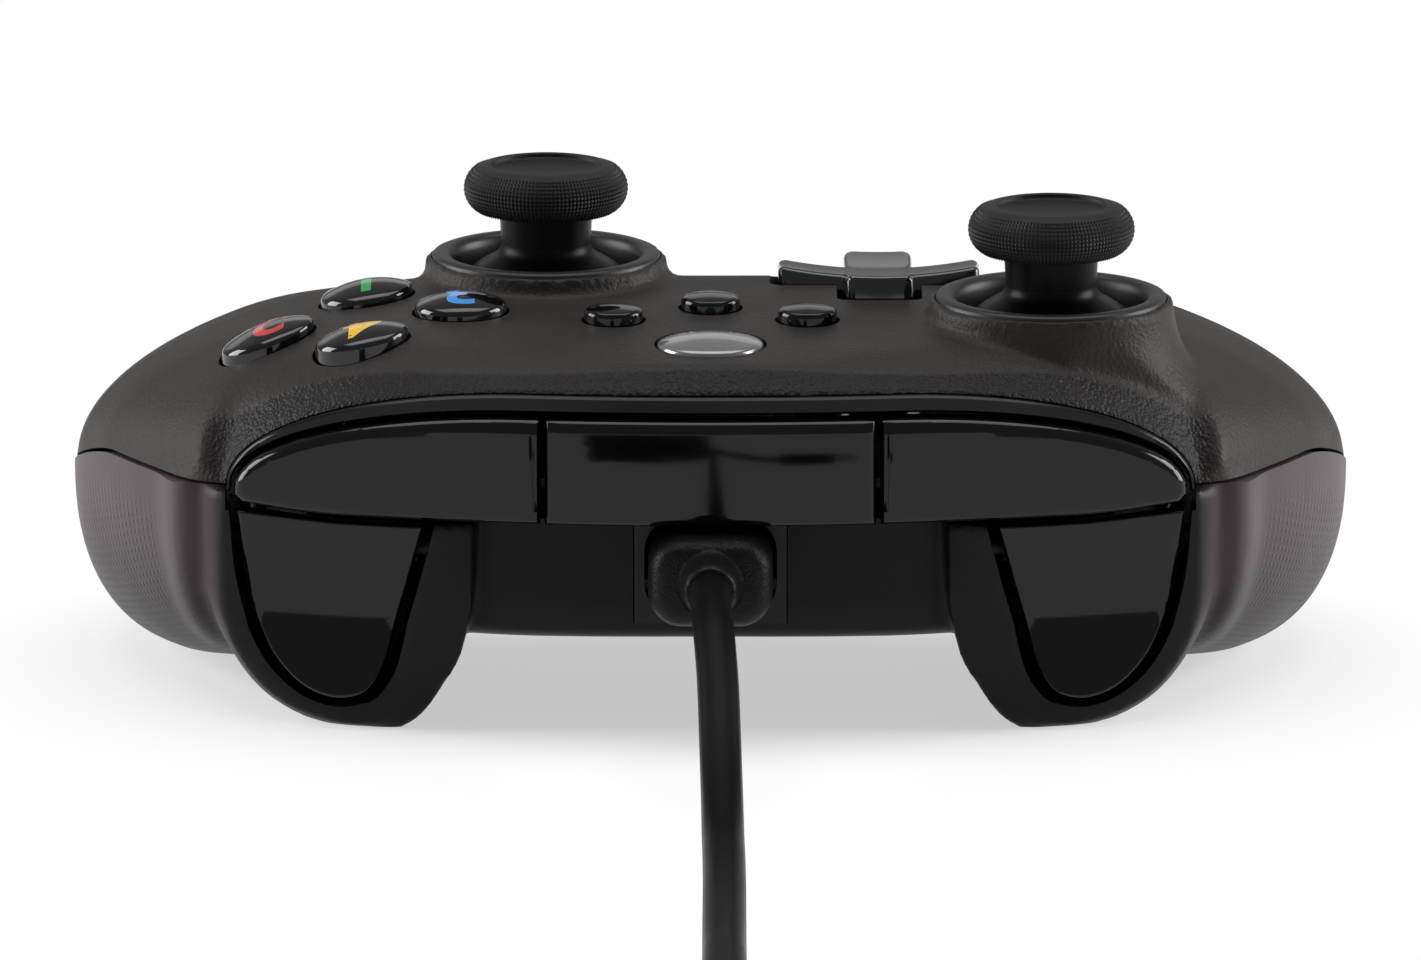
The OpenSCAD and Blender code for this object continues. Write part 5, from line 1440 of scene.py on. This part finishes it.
@dataclass
class UpperShell(Shell):
    """Grained upper shell with its lip, its two soft collars and the holes of the controls."""

    hollow_past: float = 8.0
    arch_depth: float = 6.3
    collar_r: float = 14.5
    collar_h: float = 3.1
    collar_flare: float = 5.2
    collar_drop: float = 8.5
    collar_foot: float = 5.0
    well_r: float = 13.85
    ledge_r: float = 12.9
    dome_room: float = 14.9
    pivot: float = 9.5
    ledge_h: float = -0.5
    jack_r: float = 3.3
    jack_z: float = 33.94
    jack_y: float = 10.5
    lip_end: float = 5.6
    lip_fade: float = 0.5
    lip_side: float = 58.0
    lip_side_fade: float = 3.0

    def point(self, row: float, share: float, inset: float, past: float | None) -> Vector:
        """Point of the upper skin, or of a face under the seam."""
        point = FORM.upper_point(row, share, inset, past is None)
        if past is not None:
            point.z = FORM.seam_z(point.y + FORM.depth / 2) - past
        return point

    def collars(self, blank: Blank) -> None:
        """Adds the flared collars, kept behind the lip."""
        for stick in STICKS:
            foot, flare = -self.collar_drop - self.collar_foot, self.collar_flare
            profile = [(0, foot), (self.collar_r + flare, foot)]
            profile += [(self.collar_r + flare * (1 - k / 14) ** 2,
                         mix(-self.collar_drop, self.collar_h, k / 14)) for k in range(15)]
            profile += [(self.collar_r - 0.2, self.collar_h + 0.12), (0, self.collar_h + 0.12)]
            old = set(blank.bm.verts)
            blank.lathe(profile, 96, stick.place())
            for vert in blank.bm.verts:
                if vert in old:
                    continue
                q = vert.co.y + FORM.depth / 2
                short = FORM.crease_q() + 0.4 - FORM.behind_front(vert.co.x, q)
                if short > 0:
                    away = Vector((vert.co.x, vert.co.y - FORM.y(FORM.front_r)))
                    away.normalize()
                    vert.co.x -= away.x * short
                    vert.co.y -= away.y * short

    def cutters(self, *owners: FaceButtons | MiddleButtons | DirectionPad) -> Blank:
        """Cutters of the stick wells and the controls' holes."""
        blank = Blank()
        for stick in STICKS:
            room = [(math.sqrt(self.dome_room ** 2 - (z + self.pivot) ** 2), z)
                    for z in (-self.pivot, -6.0, -4.0, -2.3)]
            well = [(self.ledge_r, -2.2), (self.ledge_r, self.ledge_h), (self.well_r, self.ledge_h),
                    (self.well_r, 14), (0, 14)]
            blank.lathe([(0, -16), (self.dome_room, -16), *room, *well], 120, stick.place())
        for owner in owners:
            owner.holes(blank)
        return blank

    def mark_lip(self, piece: Piece) -> None:
        """Marks the points of the coarser lip along the front."""
        values = []
        for vert in piece.data.vertices:
            x, y = vert.co.x / MM, vert.co.y / MM
            near = 1 - eased((FORM.behind_front(x, y + FORM.depth / 2) - self.lip_end) / self.lip_fade)
            values.append(near * (1 - eased((abs(x) - self.lip_side) / self.lip_side_fade)))
        self.mark(piece, "lip", values)

    def build(self, *owners: FaceButtons | MiddleButtons | DirectionPad) -> None:
        """Makes and dresses the shell."""
        blank = self.solid(self.skirt)
        self.collars(blank)
        piece = self.fused(blank, "top_shell_look")
        arch = Blank().prism(FORM.arch_outline(0.15, 0.15, 22), *facing_front(-9, 14), FORWARD)
        for vert in arch.bm.verts:
            if vert.co.y > FORM.y(0):
                vert.co.y = FORM.arc_y(vert.co.x, self.arch_depth)
        socket = (Matrix.Translation((0, self.jack_y, self.jack_z))
                  @ Matrix.Rotation(math.radians(-90), 4, "X"))
        jack = Blank().rod(self.jack_r, 0, 40, 48, socket)
        carve(piece, parting(-40), self.solid(self.hollow_past, True), self.cutters(*owners), arch, jack)
        self.mark_lip(piece)
        shade(piece, self.sharp)
        dress(piece, LOOK.grained_black, "housing", "grained_black", "top_shell")


@dataclass
class LowerShell(Shell):
    """Satin lower shell: two dotted grips, two trigger housings and the port's panel."""

    hollow_ends: Point2 = (0.14, 0.86)
    hollow_past: float = 14.0
    widening: float = 1.003
    setback: float = 1.9
    bevel: float = 2.3
    rim: tuple[Point2, ...] = ((57.4, 27.6), (57.8, 20), (57.1, 10.8), (54.6, 6.2), (51, 2.9), (46.3, 1.1),
                               (41, 0.6), (39, 1.2), (37.6, 2.9), (36.4, 5.8), (35.4, 8.9), (34, 14),
                               (31.4, 25))
    crease: tuple[Point2, ...] = ((61.2, 27.6), (60.8, 21), (59.6, 14.4), (56.8, 8), (53, 3.3), (47.6, 0.4),
                                  (41, -0.3), (36.6, -0.2), (34, 1.6), (31.6, 5), (29.6, 8.3), (28.2, 14),
                                  (27.6, 25))
    middle: tuple[Point2, ...] = ((62.6, 27.6), (62, 20), (60, 12), (57, 6.6), (53, 3), (47.6, 0.8),
                                  (42, 0.2), (37.6, 0.6), (35, 2.4), (32.8, 5.6), (31.2, 8.7), (30.2, 14),
                                  (29.8, 25))
    rear: tuple[Point2, ...] = ((60, 26.5), (59.6, 20), (57.6, 14), (55, 10), (52, 7.4), (48, 6), (44, 5.8),
                                (40.6, 6.4), (38.4, 7.8), (36.8, 9.8), (35.8, 12), (35.2, 16), (35.2, 25))
    middle_q: float = 31.0
    rear_q: float = 48.0
    port_half: float = 9.1
    port_low: float = 12.5
    grip_x: Point2 = (36.0, 10.0)
    # Where the grips' painted sheen begins, and how it fades lower down, where less light falls.
    rub_q: Point2 = (15.0, 2.5)
    rub_low: Point2 = (4.0, 16.0)
    rub_fade: float = 0.75
    dot_q: Point2 = (20.0, 14.0)
    dot_low: Point2 = (1.5, 6.0)

    def rim_q(self, x: float, z: float) -> float:
        """Distance of a housing's rim behind the front."""
        return self.setback + FORM.bulge(x) + 0.03 * (FORM.seam_z0 - z)

    def housing(self, blank: Blank) -> None:
        """Adds both trigger housings, each lofted through four outlines."""
        def ring(points: Sequence[Point2], q_of: Callable[[float, float], float]) -> list[Vector]:
            return [Vector((p.x, FORM.y(q_of(p.x, p.y)), p.y)) for p in smooth_path(points, 6)]

        rings = [ring(self.rim, self.rim_q), ring(self.crease, lambda x, z: self.rim_q(x, z) + self.bevel),
                 ring(self.middle, lambda x, z: self.middle_q), ring(self.rear, lambda x, z: self.rear_q)]
        steps = [0, 0.5, 1, 1.2, 1.4, 1.6, 1.8, 2, 2.33, 2.66, 3]
        for side in Side:
            lofted = []
            for t in steps:
                i = min(2, int(t))
                row = [a.lerp(b, t - i) for a, b in zip(rings[i], rings[i + 1])]
                lofted.append([Vector((side.value * p.x, p.y, p.z)) for p in row])
            blank.loops(lofted)

    def point(self, row: float, share: float, inset: float, past: float | None) -> Vector:
        """Point of the lower skin, a little proud of the upper shell's, or of a face over the seam."""
        point = FORM.lower_point(row, share, inset, past is None)
        return Vector((point.x * self.widening, point.y, point.z + (past or 0)))

    def mark_grip(self, piece: Piece) -> None:
        """Marks the points of the grips' painted sheen, and of the dots on them."""
        dotted, rubbed = [], []
        for vert in piece.data.vertices:
            x, q = abs(vert.co.x) / MM, vert.co.y / MM + FORM.depth / 2
            below = FORM.seam_z(q) - vert.co.z / MM

            def past(value: float, step: Point2) -> float:
                return eased((value - step[0]) / step[1])

            sides = past(x, self.grip_x)
            # Painted sheen: pale on the grips, less pale lower down, where less light falls.
            rubbed.append(past(q, self.rub_q) * sides * (1 - self.rub_fade * past(below, self.rub_low)))
            dotted.append(past(q, self.dot_q) * past(below, self.dot_low) * sides)
        self.mark(piece, "grip", dotted)
        self.mark(piece, "rubbed", rubbed)

    def build(self, triggers: Triggers) -> None:
        """Makes and dresses the shell."""
        blank = self.solid(self.skirt)
        self.housing(blank)
        piece = self.fused(blank, "bottom_shell_look")
        arch = Blank().prism(FORM.arch_outline(0.15, -2, FORM.panel_top - 0.1), *facing_front(-9, 19.5),
                             FORWARD)
        half = self.port_half
        port = Blank().prism([(-half, self.port_low), (half, self.port_low), (half, 40), (-half, 40)],
                             *facing_front(-9, 12.5), FORWARD)
        under = Blank().prism([(-200, -200), (200, -200), (200, 200), (-200, 200)], -30, 0.0)
        hollow = self.solid(self.hollow_past, True)
        carve(piece, parting(40), hollow, triggers.openings(), arch, port, under)
        self.mark_grip(piece)
        shade(piece, self.sharp)
        dress(piece, LOOK.satin_black, "housing", "satin_black", "bottom_shell")


@dataclass
class Cable:
    """Plug at the port, strain relief, and the cord with its coil and far plug."""

    radius: float = 2.4
    plug_z: float = 19.4
    plug_half: Point2 = (7.3, 5.4)
    plug_corner: float = 4.0
    plug_steps: tuple[Point2, ...] = ((-3.0, 2.2), (-2.92, 1.6), (-2.65, 1.1), (-2.2, 0.66), (-1.5, 0.3),
                                      (-0.6, 0.06), (0.3, 0.0), (12.8, 0.0))
    lead: tuple[Point3, ...] = (
        (0, -59, 19.4), (0, -64, 19.4), (0.3, -72, 18), (0.8, -82, 14), (1.1, -94, 8.6), (1.3, -106, 4.7),
        (1.4, -118, 2.8), (1.5, -130, 2.4), (1.5, -170, 2.4), (1.5, -230, 2.4), (1.5, -285, 2.4),
        (1.5, -304, 2.8), (1.5, -312, 3.3), (1.5, -319, 3.3))
    turns: float = 14.75
    layers: int = 4
    pitch: float = 5.5
    mid_r: float = 28.8
    low_z: float = 3.3
    steps: int = 36
    far_y: float = -285.0
    pieces: tuple[str, ...] = ("plug_tongue", "coil_ties", "far_plug", "far_plug_shell")

    def coil_point(self, turn: float) -> Vector:
        """Point of the coil after a number of turns."""
        per_layer = self.turns / self.layers
        span = per_layer * self.pitch
        out_r = self.mid_r + span / 2
        layer = min(self.layers - 1, math.floor(turn / per_layer))
        share = turn / per_layer - layer
        r = out_r - span * (share if layer % 2 == 0 else 1 - share)
        up = sum(eased((turn - j * per_layer) / 0.5 + 0.5) for j in range(1, self.layers))
        a = -2 * math.pi * turn
        start = self.lead[-1]
        return Vector((start[0] - out_r + r * math.cos(a), start[1] - 2 * self.radius + r * math.sin(a),
                       self.low_z + self.pitch * up))

    def route(self) -> list[Vector]:
        """Whole route of the cord in mm, on the path of its CAD solids."""
        path = smooth_path(self.lead, 4)
        path += [self.coil_point(k / self.steps) for k in range(int(self.turns * self.steps) + 1)]
        end = path[-1] + Vector((2 * self.radius, 0, 0))
        y, rest = self.far_y, 4.2
        tail = [end, end + Vector((7, 0, -0.2)), (-12, y, 16.6), (2, y, 12), (15, y, 7.8), (25, y, 5.2),
                (32, y, rest), (38, y, rest)]
        return path + smooth_path(tail, 4)

    def cord(self) -> Piece:
        """One round cord along the whole route."""
        path = self.route()
        curve = bpy.data.curves.new("cord_look", "CURVE")
        curve.dimensions = "3D"
        curve.bevel_depth = self.radius * MM
        curve.bevel_resolution = 4
        curve.use_fill_caps = True
        line = curve.splines.new("POLY")
        line.points.add(len(path) - 1)
        for point, place in zip(line.points, path):
            point.co = (*(place * MM), 1)
        line.use_smooth = True
        made = bpy.data.objects.new("cord_look", curve)
        bpy.context.scene.collection.objects.link(made)
        return made

    def length(self) -> float:
        """Length of the route in metres."""
        path = self.route()
        return sum((b - a).length for a, b in zip(path, path[1:])) * MM

    def slice(self, inset: float, q: float) -> list[Vector]:
        """Rounded outline of the plug at a distance behind the front."""
        w, h = (half - self.plug_corner for half in self.plug_half)
        r = self.plug_corner - inset
        ring = []
        for k in range(64):
            a = 2 * math.pi * (k + 0.5) / 64
            x = math.copysign(w, math.cos(a)) + r * math.cos(a)
            z = math.copysign(h, math.sin(a)) + r * math.sin(a)
            ring.append(Vector((x, FORM.y(q), self.plug_z + z)))
        return ring

    def relief(self) -> Blank:
        """Short tapered strain relief in front of the plug."""
        profile = [(0, -0.4), (4.3, -0.4), (4.05, -0.1), (3.8, 0.3), (3.62, 1.0), (3.45, 2.0), (3.3, 3.0),
                   (3.15, 4.0), (3.0, 4.6), (2.8, 4.92), (2.5, 5.0), (0, 5.0)]
        place = Matrix.Translation((0, FORM.y(-3), self.plug_z)) @ FORWARD
        return Blank().lathe(profile, 64, place)

    def build(self, nodes: dict[str, Piece]) -> None:
        """Makes and dresses the plug, its relief and the cord.

        Args:
            nodes: CAD nodes by name, some of which lie on the cord.
        """
        rings = [self.slice(inset, q) for q, inset in self.plug_steps]
        plug = Blank().loops(rings).mesh("cable_plug_look", 50)
        dress(plug, LOOK.overmould, "housing", "overmould", "cable_plug")
        relief = dress(self.relief().mesh("strain_relief_look"), LOOK.overmould, "housing", "overmould",
                       "strain_relief")
        cord = dress(self.cord(), LOOK.cord_sheath, "housing", "cord_sheath", "cord_lead", "cord_coil",
                     "cord_tail")
        self.length()
        [nodes[n] for n in self.pieces]


@dataclass
class InnerWorks:
    """CAD nodes that keep their own shape: they only get finishes."""

    finishes: dict[Finish, tuple[str, ...]] = field(default_factory=lambda: {
        LOOK.steel: ("screws", "usb_socket", "plug_tongue", "far_plug_shell"),
        LOOK.dark_steel: ("bumper_pins", "left_trigger_pin", "right_trigger_pin", "left_trigger_spring",
                          "right_trigger_spring", "left_rocker", "right_rocker", "left_cradle",
                          "right_cradle"),
        LOOK.motor_can: ("left_motor", "right_motor", "left_weight", "right_weight"),
        LOOK.circuit_board: ("main_board", "usb_board", "bumper_switches"),
        LOOK.module_plastic: ("left_stick_frame", "right_stick_frame", "dpad_base", "headset_jack",
                              "tact_switches"),
        LOOK.gimbal_plastic: ("dpad_gimbal",),
        LOOK.mat_rubber: ("dpad_mat", "face_mat"),
        LOOK.bezel_black: ("port_surround",),
        LOOK.overmould: ("far_plug",),
        LOOK.tie_wire: ("coil_ties",)})

    def build(self, nodes: dict[str, Piece]) -> None:
        """Gives each of these nodes its finish."""
        for finish, names in self.finishes.items():
            for name in names:
                nodes[name].data.materials.clear()
                nodes[name].data.materials.append(finish.material())
                LOG.info("node %s keeps its shape", name)


@dataclass
class Studio:
    """Camera, floor, lamps and the pale room round the pad."""

    eye: Point3 = (0.0, -1.5787, 0.3007)
    elevation: float = 10.0
    lens: float = 336.63
    sensor: float = 36.0
    floor_glow: float = 0.55
    glow_reach: Point2 = (0.055, 0.1)
    room_light: float = 0.1
    room_gloss: float = 0.25
    lamps: tuple[tuple[str, Point3, Point3, Point2, float], ...] = (
        ("top", (0, 0.1, 1.3), (0, 0, 0), (1.5, 0.9), 11),
        ("left", (-1.0, 0.15, 0.35), (0, 0, 0.02), (0.6, 0.6), 9.5),
        ("right", (1.0, 0.15, 0.35), (0, 0, 0.02), (0.6, 0.6), 9.5),
        ("back", (0, 1.5, 0.6), (0, 0, 0.1), (2.0, 0.4), 1))

    def camera(self) -> None:
        """Sets up the camera of the photograph."""
        data = bpy.data.cameras.new("camera")
        data.lens = self.lens
        data.sensor_width = self.sensor
        data.clip_end = 20
        made = bpy.data.objects.new("camera", data)
        made.location = self.eye
        made.rotation_euler = (math.radians(90 - self.elevation), 0, 0)
        bpy.context.scene.collection.objects.link(made)
        bpy.context.scene.camera = made

    def lamp(self, name: str, place: Point3, aim: Point3, size: Point2, power: float) -> None:
        """Adds a soft rectangular lamp.

        Args:
            name: Name of the lamp.
            place: Where it hangs.
            aim: The point it faces.
            size: Width and height.
            power: Power in watts.
        """
        data = bpy.data.lights.new(name, "AREA")
        data.shape = "RECTANGLE"
        data.size, data.size_y = size
        data.energy = power
        made = bpy.data.objects.new(name, data)
        made.location = place
        made.rotation_euler = (Vector(aim) - Vector(place)).to_track_quat("-Z", "Y").to_euler()
        bpy.context.scene.collection.objects.link(made)

    def floor(self) -> None:
        """Adds the white floor."""
        blank = Blank()
        bmesh.ops.create_grid(blank.bm, x_segments=8, y_segments=8, size=4000)
        made = blank.mesh("floor")
        paper = LOOK.floor.material()
        web = Web(paper.node_tree)
        glow = web.add("ShaderNodeEmission")
        blend = web.add("ShaderNodeMixShader")
        camera, mirrored = web.sight()
        shown = web.math("MAXIMUM", camera, mirrored)
        away = web.add("ShaderNodeVectorMath", operation="LENGTH")
        web.feed(away.inputs[0], web.add("ShaderNodeTexCoord").outputs["Object"])
        bright = web.ramp(away.outputs["Value"], *self.glow_reach, self.floor_glow, 1.0)
        web.feed(blend.inputs[0], web.math("MULTIPLY", shown, bright))
        web.feed(blend.inputs[1], paper.node_tree.nodes["Principled BSDF"].outputs[0])
        web.feed(blend.inputs[2], glow.outputs[0])
        web.feed(paper.node_tree.nodes["Material Output"].inputs["Surface"], blend.outputs[0])
        made.data.materials.append(paper)

    def room(self) -> None:
        """Sets a dim room that the camera sees as white, and that mirrors and lenses see at the room_gloss
        share of that white.
        """
        world = bpy.data.worlds.new("room")
        world.use_nodes = True
        bpy.context.scene.world = world
        web = Web(world.node_tree)
        camera, mirrored = web.sight()
        sky = world.node_tree.nodes["Background"]
        sky.inputs["Color"].default_value = (1, 1, 1, 1)
        shown = web.math("MAXIMUM", camera, web.math("MULTIPLY", mirrored, self.room_gloss))
        web.feed(sky.inputs["Strength"], web.math("MAXIMUM", shown, self.room_light))

    def build(self) -> None:
        """Sets the whole stage."""
        self.floor()
        self.room()
        for name, place, aim, size, power in self.lamps:
            self.lamp(name, place, aim, size, power)
        bpy.context.scene.view_settings.view_transform = "Standard"


def main() -> None:
    """Builds the whole picture round the frame."""
    logging.basicConfig(level=logging.INFO, format="%(name)s: %(message)s")
    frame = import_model()
    nodes = frame["nodes"]
    studio = Studio()
    studio.camera()
    Cable().build(nodes)
    InnerWorks().build(nodes)
    Thumbsticks().build()
    faces, middle, cross, triggers = FaceButtons(), MiddleButtons(), DirectionPad(), Triggers()
    for assembly in (faces, middle, cross, triggers, ShoulderArch()):
        assembly.build()
    UpperShell().build(faces, middle, cross)
    LowerShell().build(triggers)
    studio.build()
    bpy.context.view_layer.update()


if __name__ == "__main__":
    main()
